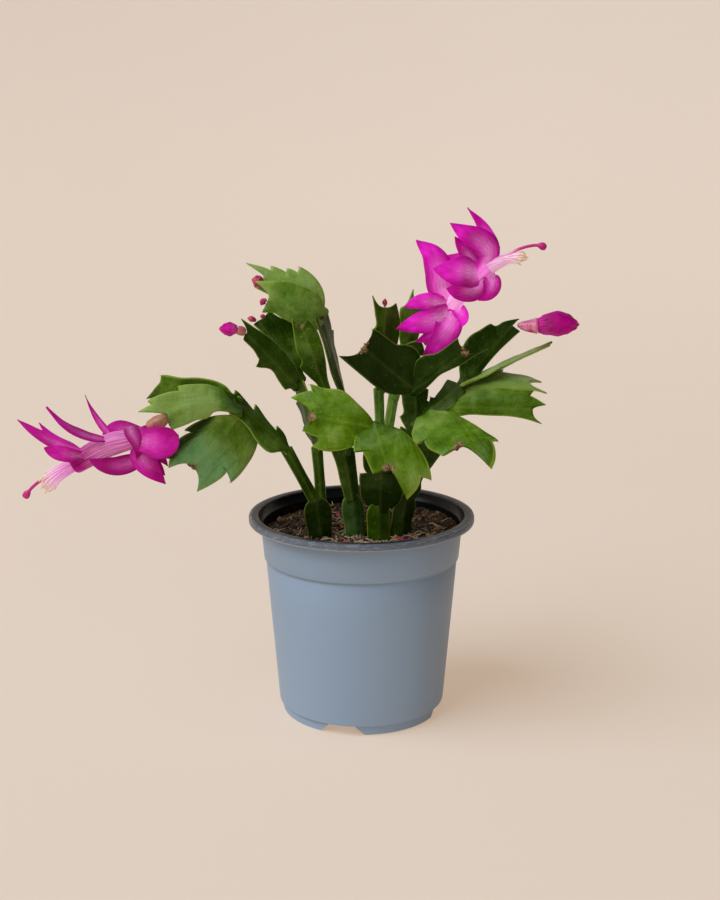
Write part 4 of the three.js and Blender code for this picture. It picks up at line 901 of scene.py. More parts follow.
def makeFibres():
    dice = random.Random(soil["seed"] + 1)
    shape = newShape("crumbLook")
    end = soil["fibreEnd"]
    for i in range(soil["fibres"]):
        x, y = spotOnSoil(dice, soil["fibreReach"])
        if dice.random() < 0.6:  # more of them between the front stems
            x, y = dice.uniform(-14, 26), dice.uniform(-30, -8)
        if nearStub(x, y, 0.4):
            continue
        angle, length = dice.uniform(0, math.pi), dice.uniform(*soil["fibreLength"])
        points = []
        for j in range(5):
            part = j / 4 - 0.5
            bend = noise.noise(Vector((i * 3.1, j * 0.8, 2))) * 2.2
            px = x + math.cos(angle) * part * length - math.sin(angle) * bend
            py = y + math.sin(angle) * part * length + math.cos(angle) * bend
            reach = math.hypot(px, py)
            if reach > end:
                px, py = px * end / reach, py * end / reach
            lift = 0.25 + 0.5 * dice.random() + (1.6 * dice.random() ** 3 if j in (0, 4) else 0)
            points.append((px, py, roughSoil(px, py) + lift))
        thick = dice.uniform(*soil["fibreSize"])
        tone = (dice.random() ** 0.5, dice.random(), dice.random())
        profile = [(thick * (0.5 + 0.5 * math.sin(math.pi * k / 6)), k / 6) for k in range(7)]
        roundAlong(shape, Trail(points, 6), profile, 4, None, "crumbLook", lambda share, angle: tone)
    finishPiece("soilFibres", shape, [fibreFinish()])


def segmentFrame(segment):  # its base, its length and its three ways
    base = Vector(segment["from"])
    axis = Vector(segment["to"]) - base
    length = axis.length
    axis.normalize()
    across = squared(Vector(segment.get("side", (1, 0.2, 0.2))), axis)
    return base, length, axis, across, across.cross(axis)


def segmentOutlines(segment, length, root, rows):  # its left and its right edge, from the root on
    half = segment.get("stem")
    neck = segment.get("neck", half or leafShape["neck"])
    outlines = []
    for side, way in (("left", -1), ("right", 1)):
        edge = segment.get(side) or [(length * 0.5, way * half), (length, way * half * 1.1)]
        foot = [(-root, way * neck * 0.5), (-root * 0.6, way * neck * 0.94), (0, way * neck)]
        outlines.append(smoothOutline(foot + edge, rows + 1))
    return outlines


def addSegment(shape, segment, seed):
    half = segment.get("stem")
    rows, columns = leafShape["stemGrid" if half else "grid"]
    root = segment.get("root", leafShape["root"]) or leafShape["buried"]
    rib = segment.get("rib", half * 1.7 if half else leafShape["rib"])
    tipRib = segment.get("tipRib", half * 1.6 if half else leafShape["tipRib"])
    edge = half * 0.8 if half else leafShape["edge"]
    bow, cup, arch, tone, blue, cork, shaded = (
        segment.get(key, 0) for key in ("bow", "cup", "arch", "tone", "blue", "cork", "shade"))
    tipTone, tipBlue = segment.get("tipTone", tone), segment.get("tipBlue", blue)
    scar, turned = segment.get("scar", 0.2), segment.get("turn", 0.02)
    base, length, axis, across, normal = segmentFrame(segment)
    left, right = segmentOutlines(segment, length, root, rows)
    fresh = bladeInto(shape, (rows, columns))
    place, look = paints(shape, "leafPlace"), paints(shape, "leafLook")
    for vert, share, column, face in fresh:
        side = (left if column < 0 else right)[round(share * rows)]
        out = abs(column)
        middle = (length + root) * share - root
        swell = 4 * (middle / length) * (1 - middle / length)
        u = middle + (side.x - middle) * out ** (1.5 + share)
        v = arch * swell * (1 - out) + side.y * out
        ridge = rib + (tipRib - rib) * share
        body = 0.6 * (1 - out) ** 1.4 + 0.4 * math.exp(-((out * abs(side.y) / leafShape["ribWidth"]) ** 2))
        thick = (edge + (ridge - edge) * body) / 2
        thick *= 0.35 + 0.65 * easeIn(middle, -root, -root * 0.4)
        if half:
            thick *= 1 - 0.6 * easeIn(share, 0.94, 1)
        if out > 0.99:
            thick *= 0.7
        part = u / length
        lift = 4 * bow * part * (1 - part) + cup * out * out * clamp(part)
        wave = noise.noise(Vector((u * 0.09, v * 0.11, seed))) * leafShape["wave"] * (0.3 + 0.7 * out)
        dent = noise.noise(Vector((u * 0.35, v * 0.35, seed + 5))) * 0.12
        if face == 0 and out > 0.99:  # the rounded rim
            v += math.copysign(leafShape["rim"], v)
        elif face == 0 and share > 0.99:
            u += leafShape["rim"]
        near = 1 - math.hypot(u - length, v) / leafShape["scar"]
        change, shade = easeIn(part, turned, turned + 0.5), shaded * easeIn(v, 8, 11)
        tint = (blue + (tipBlue - blue) * change) * (1 - clamp(2 * shade))
        vert[place] = (u, v, out)
        vert[look] = (tone + (tipTone - tone) * change - shade, tint, cork + scar * clamp(near))
        vert.co = base + u * axis + v * across + (lift + wave + face * (thick + dent)) * normal


def addScab(shape, segment, seed):  # crumbs of dry cork where the next segment has broken off
    dice = random.Random(seed)
    base, length, axis, across, normal = segmentFrame(segment)
    place, look = paints(shape, "leafPlace"), paints(shape, "leafLook")
    for i in range(leafShape["scabs"]):
        u, v = length + dice.uniform(-0.9, 0.6), dice.uniform(-1, 1) * dice.uniform(1, 4.8)
        middle = base + u * axis + v * across + dice.uniform(-0.8, 0.8) * normal
        size = dice.uniform(0.25, 0.9)
        for vert in stampInto(shape, lump, 1):
            knob = vert.co * size * (1 + 0.7 * noise.noise(vert.co * 1.3 + Vector((i, seed, 0))))
            vert.co, vert[place], vert[look] = middle + knob, (u, v, 0.5), (0.1, 0, 1)


def makeCutting(name, cutting, seed):
    shape = newShape("leafPlace", "leafLook")
    stubShape(shape, cutting["stub"], *leafShape["stub"])
    for i, segment in enumerate(cutting["segments"]):
        addSegment(shape, segment, seed + i * 7.3)
        if segment.get("scar", 0) > 0.5:
            addScab(shape, segment, seed + i)
    finishPiece(f"{name}Cutting", shape, [leafSkin], [f"cutting_{name}"])


def leafFinish():
    skin = Finish("leafSkin", Specular_Tint=(0.7, 1, 0.25, 1), Coat_Roughness=0.38, Specular_IOR_Level=0.2)
    where = skin.place()
    along, across, out = skin.painted("leafPlace")
    tone, blue, cork = skin.painted("leafLook")
    broad, patches = skin.cloud(where, 42, 2), skin.cloud(where, 95, 4, 0.6)
    mottle, grain = skin.cloud(where, 380, 4, 0.65), skin.cloud(where, 1700, 3, 0.6)
    spread = (0.8 * broad - 0.4 + 0.42 * patches - 0.21 + 0.16 * mottle - 0.08) * (0.4 + tone)
    # painted sheen: soft pale patches on the lighter leaves, standing in for glossy highlights
    paintedSheen = skin.step(0.6 * broad + 0.4 * skin.cloud(where, 150), 0.5, 0.64)
    # folds are long ripples bumped into the leaf, and the dark lines along them are painted shade in their
    # creases
    folds = skin.cloud(skin.join(along * 0.05, across * 0.42, out), 1, 3, 0.6)
    rib, rim = skin.step(skin.size(across), 1.1, 0.1), skin.step(out, 0.95, 0.995)
    specks = skin.step(skin.cells(where, 520), 0.16, 0.08) * skin.step(mottle, 0.45, 0.6)
    bark = skin.step(cork + (0.3 * patches + 0.5 * mottle + 0.6 * grain - 0.7), 0.3, 0.5)
    crust = skin.step(0.5 * grain + 0.5 * mottle, 0.4, 0.62)
    greens = skin.ramp(
        skin.maths("ADD", tone, spread, clamped=True),
        (0, (8, 18, 1)), (0.25, (20, 43, 1)), (0.5, (48, 76, 2)), (0.75, (84, 122, 8)), (1, (136, 164, 66)),
    )
    colour = skin.coats(
        greens, (blue * (0.35 + 0.65 * patches), (112, 176, 122)), (paintedSheen * 0.2 * tone, (166, 194, 128)),
        (skin.step(folds, 0.5, 0.7) * 0.16, (26, 46, 4)), (rib * (0.03 + 0.08 * tone), (150, 172, 80)),
        (rim * (0.16 + 0.44 * tone), (158, 182, 60)), (specks * 0.2, (176, 190, 130)),
        (bark * 0.9, skin.mix(crust, (54, 33, 18), (178, 142, 112))),
    )
    relief = skin.bump(mottle, 0.0005, 0.35, skin.bump(grain, 0.00012, 0.5))
    relief = skin.bump(folds, 0.0016, 0.4, skin.bump(patches, 0.0022, 0.45, relief))
    gloss = tone * skin.step(patches, 0.4, 0.62) * 0.35
    rough = 0.32 + 0.16 * mottle + 0.3 * bark
    skin.wear(Base_Color=colour, Roughness=rough, Coat_Weight=gloss, Normal=relief)
    return skin


leafSkin = leafFinish()
makeSoil()
makeCrumbs()
makeFibres()
for number, (name, cutting) in enumerate(cuttings.items()):
    makeCutting(name, cutting, 11 + 40 * number)
print("soil and cuttings ready")

bristle = {"tip": 9, "tooth": 3, "length": 1.5, "radius": 0.07, "seed": 8}


def bristleFinish():
    hair = Finish("brownBristle", Roughness=0.7)
    hair.wear(Base_Color=hair.mix(hair.cloud(hair.place(), 900, 2), (92, 60, 34), (164, 124, 80)))
    return hair


def bristleSpots(segment, length):  # the tip of a leaf and its sharp teeth
    spots = [(length, 0, bristle["tip"])]
    for points in (segment["left"], segment["right"]):
        for (u, v), (nextU, nextV) in zip(points[1:], points[2:]):
            if abs(v) > abs(nextV) + 1 and nextU - u < 2.5:
                spots.append((u, v, bristle["tooth"]))
    return spots


def makeBristles():
    dice = random.Random(bristle["seed"])
    shape = bmesh.new()
    profile = [(bristle["radius"], 0), (bristle["radius"] * 0.8, 0.5), (0.015, 1)]
    segments = [segment for cutting in cuttings.values() for segment in cutting["segments"]]
    for segment in segments:
        if "stem" in segment or segment["from"][2] < 100:
            continue
        base, length, axis, across, normal = segmentFrame(segment)
        for u, v, count in bristleSpots(segment, length):
            part = u / length
            lift = 4 * segment.get("bow", 0) * part * (1 - part)
            lift += segment.get("cup", 0) * (1 if v else 0) * clamp(part)
            for i in range(count):
                start = base + axis * (u - 0.5) + across * (v * 0.98)
                start += normal * (lift + dice.uniform(-0.5, 0.5))
                spread = anyWay(dice)
                way = (axis + spread * 0.7).normalized()
                size = bristle["length"] * dice.uniform(0.5, 1.2)
                trail = Trail([start, start + way * size * 0.5, start + way * size + spread * 0.1], 3)
                roundAlong(shape, trail, profile, 3)
    finishPiece("areoleBristles", shape, [bristleFinish()])


makeBristles()

# A petal follows its path with its width along side. blunt rounds its tip, cup hollows it, base is how broad
# it starts, and a petal that lies in shade gets a number that deepens its colour as painted shade.
leftPetals = [
    {"path": [(-110.5, -30, 138.5), (-115.5, -29, 145), (-119, -27, 150.5), (-121.5, -25, 155.5)],
     "side": (1, 0.2, 0.1), "width": 3.4, "blunt": -0.6},
    {"path": [(-111.5, -33, 137), (-120, -37, 140), (-128.5, -39, 145.5), (-135.5, -38, 153)],
     "side": (0, 1, 0.35), "width": 7, "blunt": -0.2},
    {"path": [(-123.5, -28, 130.5), (-135.5, -23, 133), (-145, -20, 137.5), (-153.5, -18, 143)],
     "side": (0.2, 0.6, 0.8), "width": 5.4},
    {"path": [(-123.5, -27.5, 130), (-126.5, -25, 131), (-135.5, -20, 134), (-141, -17, 137.5),
     (-144.5, -15, 141)], "side": (0.3, 0.8, 0.5), "width": 4.6},
    {"path": [(-119.5, -33, 129.5), (-127, -36, 131), (-132.5, -37, 132.5), (-138, -37, 134.5)],
     "side": (0.1, 0.5, 0.9), "width": 7, "blunt": 0.4},
    {"path": [(-100, -30.5, 133.5), (-98.5, -31, 128.6), (-105.5, -35, 126), (-112.5, -36, 126.8),
     (-120, -34, 130)], "side": (0, 0.6, 0.8), "width": 9, "dark": 0.35},
    {"path": [(-99.5, -32, 136), (-92.5, -38, 137.5), (-85.5, -41, 137.5), (-78.5, -42, 141)],
     "side": (0.1, 0.3, 1), "width": 14.5, "blunt": 1, "cup": -1.5},
    {"path": [(-98, -31.5, 135), (-96.5, -34, 131.5), (-93, -37, 127), (-90, -38, 123.5),
     (-85.5, -38, 118.5)], "side": (0.6, 0.2, 0.8), "width": 11, "blunt": -0.3, "cup": -1},
    {"path": [(-97, -30, 134.5), (-92, -32, 127.5), (-86.5, -33, 121)], "side": (0.6, 0.5, 0.6), "width": 6,
     "dark": 0.5},
    {"path": [(-99.5, -28, 134.5), (-95, -22, 131), (-90, -20, 126), (-87, -20, 122)],
     "side": (0.4, 0.8, 0.3), "width": 8, "dark": 0.5},
    {"path": [(-101.5, -30, 142), (-99.7, -34.6, 140), (-97.5, -36.4, 136.5), (-97, -35.6, 131.5),
     (-98.5, -33, 127.5)], "side": (1, 0.3, 0.5), "width": 6.5, "base": 0.4, "dark": 0.6},
    {"path": [(-97, -28, 140), (-104.5, -27, 140.6), (-109, -27, 140.2), (-114, -28.5, 138)],
     "side": (0, 0.7, 0.7), "width": 9, "blunt": 0.5},
]
rightPetals = [
    {"path": [(41.5, 22, 191.5), (37.5, 22, 197), (36.5, 23, 204.5), (33, 25, 212.5), (25.5, 27, 219)],
     "side": (1, 0.3, 0.1), "width": 15},
    {"path": [(54.5, 17.5, 203.5), (48.5, 10, 206), (40.5, 8, 206.5), (32.5, 9, 207.5)], "side": (0, 0.3, 1),
     "width": 14.5, "cup": -1},
    {"path": [(56.5, 18.5, 200.5), (50, 14, 197), (44.5, 13, 196.6), (39, 14, 198)], "side": (0, 0.4, 1),
     "width": 11, "dark": 0.4},
    {"path": [(55, 18.5, 206), (58.6, 17.6, 213), (55.5, 15, 218), (48.5, 14, 222.5), (40.5, 16, 227.5)],
     "side": (0.8, 0.3, 0.5), "width": 13},
    {"path": [(57, 21, 206), (60, 23.5, 214.5), (58.5, 24, 220.5), (54.5, 24, 227.5), (49, 25, 234)],
     "side": (0.9, 0.3, 0.3), "width": 9, "blunt": -0.4},
    {"path": [(57, 19, 203), (59.6, 16.8, 202.4), (60, 15, 199), (58, 13.5, 195.6), (53.5, 12.5, 192.6)],
     "side": (1, 0.3, 0), "width": 9, "dark": 0.3},
    {"path": [(53, 20, 205), (49, 20, 213), (45.5, 20, 217.5), (43, 20, 221)], "side": (1, 0.2, 0.3),
     "width": 7.5, "dark": 0.6},
    {"path": [(41, 22, 188.5), (33.5, 17, 191), (26.5, 15, 191.5), (19.5, 15, 189)], "side": (0, 0.3, 1),
     "width": 9},
    {"path": [(42.5, 21.5, 186.5), (34.5, 14, 183.5), (25.5, 12, 182), (16, 12, 179.5)], "side": (0, 0.3, 1),
     "width": 12, "cup": -1},
    {"path": [(42.5, 21.5, 186.5), (39.5, 14, 179), (35, 12, 173.5), (28.5, 12, 167)], "side": (1, 0.3, 0),
     "width": 13, "cup": -1},
    {"path": [(38.5, 21.5, 181.5), (36.5, 16.5, 179), (31, 14.5, 175.5), (25, 14, 173)],
     "side": (0.7, 0, -0.7), "width": 6.5, "dark": 0.6},
    {"path": [(41.5, 21, 186.5), (45.5, 16, 187), (47.5, 14, 184), (46, 14, 179.5)],
     "side": (0.8, -0.6, 0.1), "width": 7},
    {"path": [(53.5, 22, 202.5), (49.5, 29, 206.5), (42.5, 33, 207.5), (34.5, 35, 209.5)],
     "side": (0, 0.3, 1), "width": 12},
]
leftFlower = {
    "axis": [(-93.2, -30, 141.2), (-99, -30, 137.4), (-110.5, -30, 134), (-122, -30, 128), (-127, -30, 125)],
    "tube": [(0.2, 0), (2.3, 0.005), (2.6, 0.03), (4.2, 0.2), (5.2, 0.45), (5.1, 0.7), (4.5, 0.96), (4.3, 1),
        (3.7, 0.995), (3.4, 0.97), (3.3, 0.93), (0.2, 0.925)],
    "style": [(-131.5, -30, 122.8), (-137, -30, 120.5), (-142, -30, 117.8), (-146, -30, 114.5),
        (-149.5, -30, 110)],
    "ovary": {"path": [(-84.8, -30.6, 146.6), (-93.2, -30, 141.3)], "start": 2.3, "middle": 3.4, "end": 3},
    "petals": leftPetals, "reach": 0.57, "flare": 2.4, "gather": 0.2, "droop": 2.6, "base": 0.08, "mouth": 1,
    "pale": 0.3, "tubeTone": 0.42, "blush": 0.7,
}
rightFlower = {
    "axis": [(33.5, 24, 174.5), (37.5, 24, 181), (43, 23, 190), (51.5, 21, 199.5), (59.5, 19, 206.5)],
    "tube": [(0.2, 0), (2.1, 0.005), (2.4, 0.03), (3.2, 0.2), (3.8, 0.45), (4.2, 0.8), (4.5, 0.97), (4.3, 1),
        (3.7, 0.995), (3.4, 0.97), (3.3, 0.935), (0.2, 0.93)],
    "style": [(64, 17.8, 210.4), (67.5, 16.6, 213.2), (71.5, 15, 215.5), (76, 14, 217), (80.5, 14, 217.5),
        (84.5, 14, 216.5)],
    "ovary": {"path": [(29.8, 24.5, 170.2), (33, 24.1, 173.8)], "start": 1.7, "middle": 2.3, "end": 2.1},
    "petals": rightPetals, "reach": 0.66, "flare": 0.9, "gather": 0.6, "droop": 3.4, "base": 0.2,
    "mouth": 0.6, "pale": 0.5, "tubeTone": 1, "blush": 0.35,
}
petalShape = {"grid": (26, 12), "thick": 0.5, "wave": 0.5, "curl": 0.5}
stamenShape = {"count": 72, "radius": 0.25, "inner": 1.3, "outer": 2.7, "anther": 0.38}


def addPetal(shape, petal, seed, pale, base=0.1):
    rows, columns = petalShape["grid"]
    trail = Trail(petal["path"])
    frames = [trail.frame(row / rows, petal["side"]) for row in range(rows + 1)]
    cup, blunt, base = petal.get("cup", 0), petal.get("blunt", 0), petal.get("base", base)
    fresh = bladeInto(shape, (rows, columns))
    place = paints(shape, "petalPlace")
    for vert, share, column, face in fresh:
        middle, across, normal = frames[round(share * rows)]
        swell = math.sin(math.pi * (base + (1 - base) * share ** (1 + blunt * 0.9)))
        half = max(0.2, petal["width"] / 2 * max(0, swell) ** (0.8 - 0.3 * blunt))
        ruffle = noise.noise(Vector((share * 4 + seed, column * 1.5, seed))) * petalShape["wave"]
        lift = cup * column * column * swell + ruffle * abs(column)
        lift -= petalShape["curl"] * column * column * easeIn(share, 0.4, 1)
        folds = 0.16 * math.cos(column * 9 + seed) * swell * (1 - abs(column))
        crease = -0.3 * math.exp(-((column * half / 0.6) ** 2)) * (1 - share)
        thick = petalShape["thick"] / 2 * (1 - 0.35 * share) * (0.6 if abs(column) > 0.99 else 1)
        milk = pale * (1 - easeIn(share, 0.05, 0.8)) * math.exp(-((column / 0.45) ** 2))
        vert[place] = (share, abs(column) * half / 8 + petal.get("dark", 0), milk)
        vert.co = middle + across * (half * column) + normal * (lift + crease + folds + face * thick)


# Petals glow a little, as painted light standing in for light shining through them
def petalFinish(name, glow, deepest, middle, lightest):
    petal = Finish(
        name, Emission_Strength=glow, Specular_IOR_Level=0.1, Subsurface_Weight=0.15,
        Subsurface_Radius=(1, 0.25, 0.6), Subsurface_Scale=0.002,
    )
    share, across, pale = petal.painted("petalPlace")
    lines = petal.cloud(petal.join(share * 0.7, across * 14, 0), 9, 3, 0.6)
    patches = petal.cloud(petal.place(), 75, 2)
    # the pale band near each petal's foot is partly the petal's pale colour and partly painted highlight,
    # and it glows brighter
    paleAndHighlight = pale * (0.35 + 0.95 * petal.step(lines, 0.38, 0.64))
    colour = petal.coats(
        petal.ramp(0.65 * lines + 0.35 * patches, (0.38, deepest), (0.5, middle), (0.62, lightest)),
        # painted shade: deeper colour towards the edges, and on petals that lie in shade
        (petal.step(petal.size(across), 0.3, 0.9) * 0.62, (140, 0, 98)), (paleAndHighlight, (255, 186, 242)),
        (petal.step(share, 0.8, 1) * 0.5, (136, 0, 88)),
    )
    petal.wear(
        Base_Color=colour, Emission_Color=petal.mix(paleAndHighlight, colour, (1.7, 1.1, 1.6, 1)),
        Roughness=0.42 + 0.2 * patches, Normal=petal.bump(lines, 0.0004, 0.5),
    )
    return petal


def youngFinish():  # small buds are redder, with a dull blush at the foot
    young = Finish("youngBud", Roughness=0.5)
    pale = young.painted("petalPlace")[2]
    cloud = young.cloud(young.place(), 420, 3, 0.6)
    colour = young.ramp(cloud, (0.34, (128, 8, 58)), (0.5, (184, 34, 92)), (0.66, (206, 84, 122)))
    colour = young.mix(pale * (0.3 + 0.9 * cloud), colour, (196, 128, 104))
    young.wear(Base_Color=colour, Normal=young.bump(cloud, 0.0002, 0.5))
    return young


def stamenFinish():
    # the threads glow a little, as painted light that keeps them pale and bright
    thread = Finish("paleStamen", Roughness=0.55, Emission_Strength=0.15)
    blush, pollen = thread.painted("stamenLook")[1:]
    grain = thread.cloud(thread.place(), 2500, 2)
    colour = thread.coats(
        (252, 226, 240), (blush, (230, 104, 220)), (pollen, (238, 214, 192)),
        (pollen * grain * 0.4, (190, 150, 96)),
    )
    thread.wear(Base_Color=colour, Emission_Color=colour, Normal=thread.bump(grain, 0.0002, 0.5))
    return thread


def styleFinish():
    style = Finish("magentaStyle", Roughness=0.45)
    cloud = style.cloud(style.place(), 300)
    pale = 1 - style.step(style.painted("stamenLook")[0] + 0.1 * cloud, 0.52, 0.68)
    colour = style.coats((184, 6, 112), (cloud, (216, 36, 150)), (pale * 0.85, (244, 190, 222)))
    style.wear(Base_Color=colour)
    return style


def ovaryFinish(name, deep, middle, light):
    ovary = Finish(name, Roughness=0.45)
    where = ovary.place()
    colour = ovary.ramp(ovary.cloud(where, 260, 3, 0.6), (0.36, deep), (0.5, middle), (0.66, light))
    ovary.wear(Base_Color=colour, Normal=ovary.bump(ovary.cloud(where, 1500, 2), 0.0001, 0.5))
    return ovary


def makeFlowerBody(name, flower, seed):
    shape = newShape("petalPlace")

    def ribbed(radius, share, angle):
        return radius * (1 + 0.035 * math.sin(angle * 5 + share * 3)) if radius > 2 else radius

    def dye(share, angle):
        milk = flower["tubeTone"] * easeIn(share, 0.02, 0.2)
        return share * 0.3, angle / 9, milk * (1 - flower["mouth"] * easeIn(share, 0.6, 0.92))

    profile = evenProfile(flower["tube"], 34)
    roundAlong(shape, Trail(flower["axis"]), profile, 40, ribbed, "petalPlace", dye)
    for i, petal in enumerate(flower["petals"]):
        addPetal(shape, petal, seed + 3.7 * i, flower["pale"], flower["base"])
    finishPiece(f"{name}Flower", shape, [petalSkins[name]], [f"{name}_flower_petals"])


def stylePath(flower):  # from the well in the throat out of the mouth
    end, before = Vector(flower["axis"][-1]), Vector(flower["axis"][-2])
    way = (end - before).normalized()
    return [end - way * 2.7, end - way, end + way] + flower["style"]


def makeStamens(name, flower, seed):
    dice = random.Random(seed)
    shape = newShape("stamenLook")
    trail = Trail(stylePath(flower))
    inner, outer, size = stamenShape["inner"], stamenShape["outer"], stamenShape["anther"]
    thin = [(stamenShape["radius"], k / 9) for k in range(10)]
    bean = [(0.05, 0), (size * 0.8, 0.15), (size, 0.4), (size * 0.9, 0.7), (size * 0.5, 0.93), (0.05, 1)]
    for i in range(stamenShape["count"]):
        angle = (i * 2.4) % (2 * math.pi) - math.pi
        ring = inner + (outer - inner) * dice.random()
        last = flower["reach"] * dice.uniform(0.8, 1.04)
        blush = flower["blush"] * dice.uniform(0.5, 1.2)
        flare = flower["flare"] * dice.uniform(-0.3, 1.1)
        droop = flower["droop"] * dice.uniform(0.4, 1.1)
        points = []
        for part in (0, 0.2, 0.4, 0.6, 0.8, 1):
            middle, side, under = trail.frame(max(0.02, last * part), (0, 1, 0))
            if under.z > 0:
                under.negate()
            wide, turned = ring + flare * part**1.5, angle * (1 - flower["gather"] * part)
            fall = Vector((0, 0, -droop * part**3))
            points.append(middle + wide * (math.cos(turned) * under + math.sin(turned) * side) + fall)

        def blushed(share, angle):
            return share, blush * (1 - 0.8 * easeIn(share, 0.35, 1)), 0

        strand = Trail(points, 6)
        roundAlong(shape, strand, thin, 6, None, "stamenLook", blushed)
        tip, lean = strand.at(1), (strand.along(1) + anyWay(dice) * 0.5).normalized()
        anther = Trail([tip - lean * 0.7, tip + lean * 1.1], 4)
        roundAlong(shape, anther, bean, 8, None, "stamenLook", lambda share, angle: (1, 0, 1))
    finishPiece(f"{name}Stamens", shape, [stamenSkin], [f"{name}_flower_stamens"])


def makeStyle(name, flower):
    shape = newShape("stamenLook")
    trail = Trail(stylePath(flower))
    profile = [(0.7, 0.86 * k / 20) for k in range(21)]
    profile += [(0.95, 0.875), (1.35, 0.9), (1.6, 0.93), (1.55, 0.965), (1.05, 0.99), (0.1, 1)]

    def lobed(radius, share, angle):  # the stigma's lobes
        return radius * (1 + 0.16 * math.cos(6 * angle)) if share > 0.9 else radius

    roundAlong(shape, trail, profile, 24, lobed, "stamenLook", lambda share, angle: (share, 0, 0))
    finishPiece(f"{name}Style", shape, [styleSkin], [f"{name}_flower_style"])


def makeOvary(name, ovary, node, skin):
    shape = bmesh.new()
    start, middle, end = ovary["start"], ovary["middle"], ovary["end"]
    profile = evenProfile([
        (0.1, 0), (start * 0.55, 0.01), (start * 0.9, 0.08), ((start + middle) / 2, 0.25), (middle, 0.5),
        ((middle + end) / 2, 0.76), (end, 0.94), (end * 0.8, 0.99), (0.1, 1),
    ], 16)

    def ribbed(radius, share, angle):
        return radius * (1 + 0.04 * math.cos(5 * angle)) if radius > 0.5 else radius

    roundAlong(shape, Trail(ovary["path"]), profile, 32, ribbed)
    finishPiece(name, shape, [skin], [node])


petalSkins = {
    "left": petalFinish("rosePetal", 0.1, (130, 0, 84), (190, 2, 146), (226, 48, 194)),
    "right": petalFinish("magentaPetal", 0.22, (144, 0, 94), (212, 2, 176), (248, 56, 226)),
}
budSkin = petalFinish("closedPetal", 0.15, (136, 0, 86), (196, 0, 142), (232, 30, 182))
stamenSkin, styleSkin, youngSkin = stamenFinish(), styleFinish(), youngFinish()
brownOvary = ovaryFinish("brownOvary", (176, 84, 96), (186, 124, 108), (158, 124, 84))
pinkOvary = ovaryFinish("pinkOvary", (196, 44, 110), (228, 132, 172), (242, 184, 206))
for number, (name, flower) in enumerate((("left", leftFlower), ("right", rightFlower))):
    makeFlowerBody(name, flower, 2.1 + number * 50)
    makeStamens(name, flower, 21 + number)
    makeStyle(name, flower)
    makeOvary(f"{name}FlowerOvary", flower["ovary"], f"{name}_flower_ovary", brownOvary)
rightBudOvary = {
    "path": [(72.6, 20, 180), (77.5, 20, 179.5), (82.3, 20, 179.6)], "start": 1.3, "middle": 2.7, "end": 3.9,
}
leftBudOvary = {"path": [(-52.2, -2.4, 179.8), (-56, -3, 181.1)], "start": 1.7, "middle": 2.2, "end": 2}
makeOvary("rightBudOvary", rightBudOvary, "right_bud_ovary", pinkOvary)
makeOvary("leftBudOvary", leftBudOvary, "left_bud_ovary", brownOvary)

tepalShape = {"grid": (20, 10), "wrap": 0.95, "twist": 0.5, "sunk": 0.25, "thick": 0.12}
buds = {
    "right_bud": {"path": [(82.4, 20, 179.7), (91.5, 20, 180.7), (101.8, 20, 180)], "radius": 5.9,
        "neck": 3.8, "widest": 0.48, "sides": 40, "tepals": 8, "pale": 0.05},
    "left_bud": {"path": [(-56, -3, 181.2), (-59.4, -3, 181.4), (-64.4, -3, 181.2)], "radius": 3.3,
        "neck": 2, "widest": 0.4, "sides": 32, "tepals": 4, "pale": 0.1},
    "top_bud": {"path": [(-46.2, 21.5, 198), (-48.5, 21.2, 200.5), (-51, 21, 201.5)], "radius": 3,
        "neck": 1.6, "sides": 28, "tepals": 3, "pale": 0.7, "young": 1},
    "front_bud": {"path": [(-43.6, 11.6, 193), (-45.3, 11, 192), (-46.5, 11, 190.5)], "radius": 1.6,
        "neck": 0.9, "sides": 20, "tepals": 3, "pale": 0.3, "young": 1},
    "side_bud": {"path": [(-48.9, 15.6, 182.7), (-51, 15, 183.5), (-53, 15, 184)], "radius": 1.6,
        "neck": 0.9, "sides": 20, "tepals": 2, "pale": 0.8, "young": 1},
    "low_bud": {"path": [(-44.4, 10.4, 186), (-45.5, 10.2, 185.3), (-46.7, 10, 185)], "radius": 1.2,
        "neck": 0.7, "sides": 20, "tepals": 2, "pale": 0, "young": 1},
    "back_bud": {"path": [(11, 28, 187.7), (11, 28, 189.5), (11.5, 28, 191.5)], "radius": 1.3, "neck": 0.7,
        "sides": 20, "tepals": 3, "pale": 0.2, "young": 1},
}


def budRadius(bud, share):
    neck, most, widest = bud["neck"], bud["radius"], bud.get("widest", 0.5)
    marks = [
        (0, neck), (widest * 0.4, (neck + most) / 2), (widest, most),
        (widest + (1 - widest) * 0.45, most * 0.8), (widest + (1 - widest) * 0.8, most * 0.4), (1, 0),
    ]
    for (low, small), (high, large) in zip(marks, marks[1:]):
        if share <= high:
            swell = (large - small) * easeIn(share, low, high) * 0.5
            return small + swell + (large - small) * 0.5 * (share - low) / (high - low)
    return 0


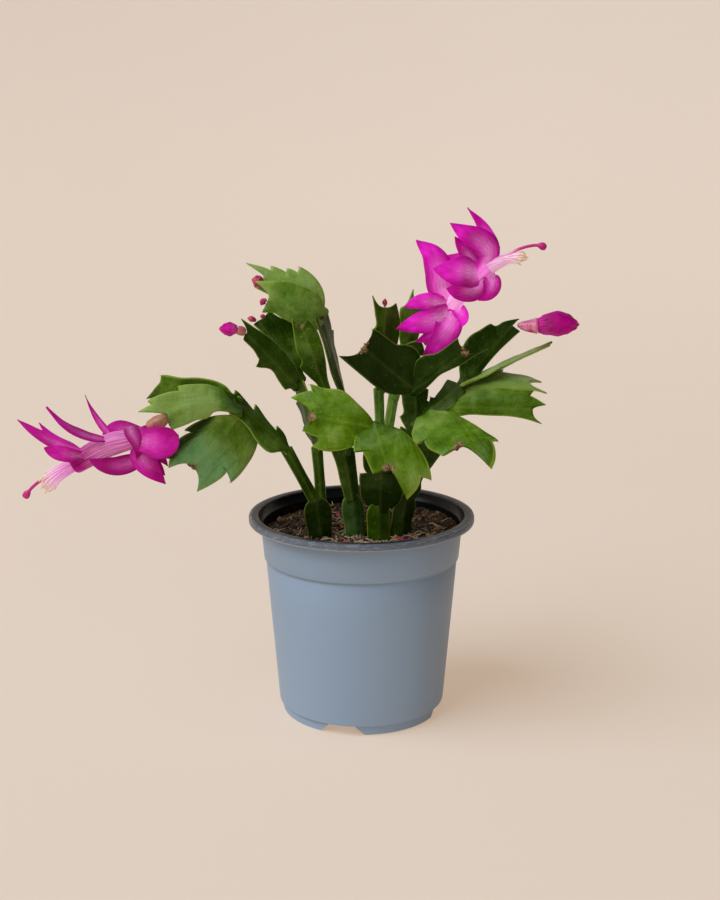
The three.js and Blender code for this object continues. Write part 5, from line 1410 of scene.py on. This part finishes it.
def addTepal(shape, bud, trail, turned, start, end):  # a petal wrapped round the bud
    rows, columns = tepalShape["grid"]
    frames = [trail.frame(start + (end - start) * row / rows, (0, 1, 0.2)) for row in range(rows + 1)]
    fresh = bladeInto(shape, (rows, columns))
    place = paints(shape, "petalPlace")
    for vert, share, column, face in fresh:
        reach = start + (end - start) * share
        middle, across, third = frames[round(share * rows)]
        shrink = math.sin(math.pi * (0.3 + 0.7 * share)) ** 0.6 if share < 1 else 0
        angle = turned + column * tepalShape["wrap"] * shrink + tepalShape["twist"] * share
        lift = 0.1 + 0.03 * bud["radius"] * (1 - abs(column)) + 0.25 * easeIn(share, 0.75, 1)
        radius = max(0.05, budRadius(bud, reach) - tepalShape["sunk"]) + lift + face * tepalShape["thick"]
        milk = bud["pale"] * (1 - easeIn(reach, 0.05, 0.5))
        vert[place] = (0.25 + 0.6 * reach, 0.36 + 0.4 * abs(column), milk)
        vert.co = middle + radius * (math.cos(angle) * across + math.sin(angle) * third)


def makeBud(name, bud):
    shape = newShape("petalPlace")
    trail = Trail(bud["path"])
    profile = [(0.1, 0)] + [(max(0.05, budRadius(bud, k / 20) - 0.3), k / 20) for k in range(21)]

    def dye(share, angle):
        return 0.2 + 0.7 * share, 0.6 + angle / 20, bud["pale"] * 0.5

    roundAlong(shape, trail, profile, bud["sides"], None, "petalPlace", dye)
    for i in range(bud["tepals"]):
        start, end = 0.02 + 0.42 * i / bud["tepals"], 0.72 + 0.27 * (i + 1) / bud["tepals"]
        addTepal(shape, bud, trail, i * 2.4, start, end)
    skin = youngSkin if bud.get("young") else budSkin
    finishPiece(name.split("_")[0] + "Bud", shape, [skin], [name])


for name, bud in buds.items():
    makeBud(name, bud)
print("flowers and buds ready")

# Petal bits that fell on the soil, each with its place, length, width and turn
fallen = ((-12, 23.5, 3.4, 3, 1.1), (19.9, -20.5, 6.5, 4, 0.2), (-7.5, -22, 3, 2, 1.2))


def makeFallenBits():
    shape = newShape("petalPlace")
    for i, (x, y, length, width, turned) in enumerate(fallen):
        path = []
        for part in (-0.5, 0, 0.5):
            px, py = x + math.cos(turned) * part * length, y + math.sin(turned) * part * length
            path.append((px, py, roughSoil(px, py) + 0.7 + 0.5 * abs(part)))
        side = (-math.sin(turned), math.cos(turned), 0.3)
        addPetal(shape, {"path": path, "side": side, "width": width}, i * 9, 0)
    finishPiece("fallenPetals", shape, [youngSkin])


makeFallenBits()

for stamp in stamps.values():
    bpy.data.meshes.remove(stamp)
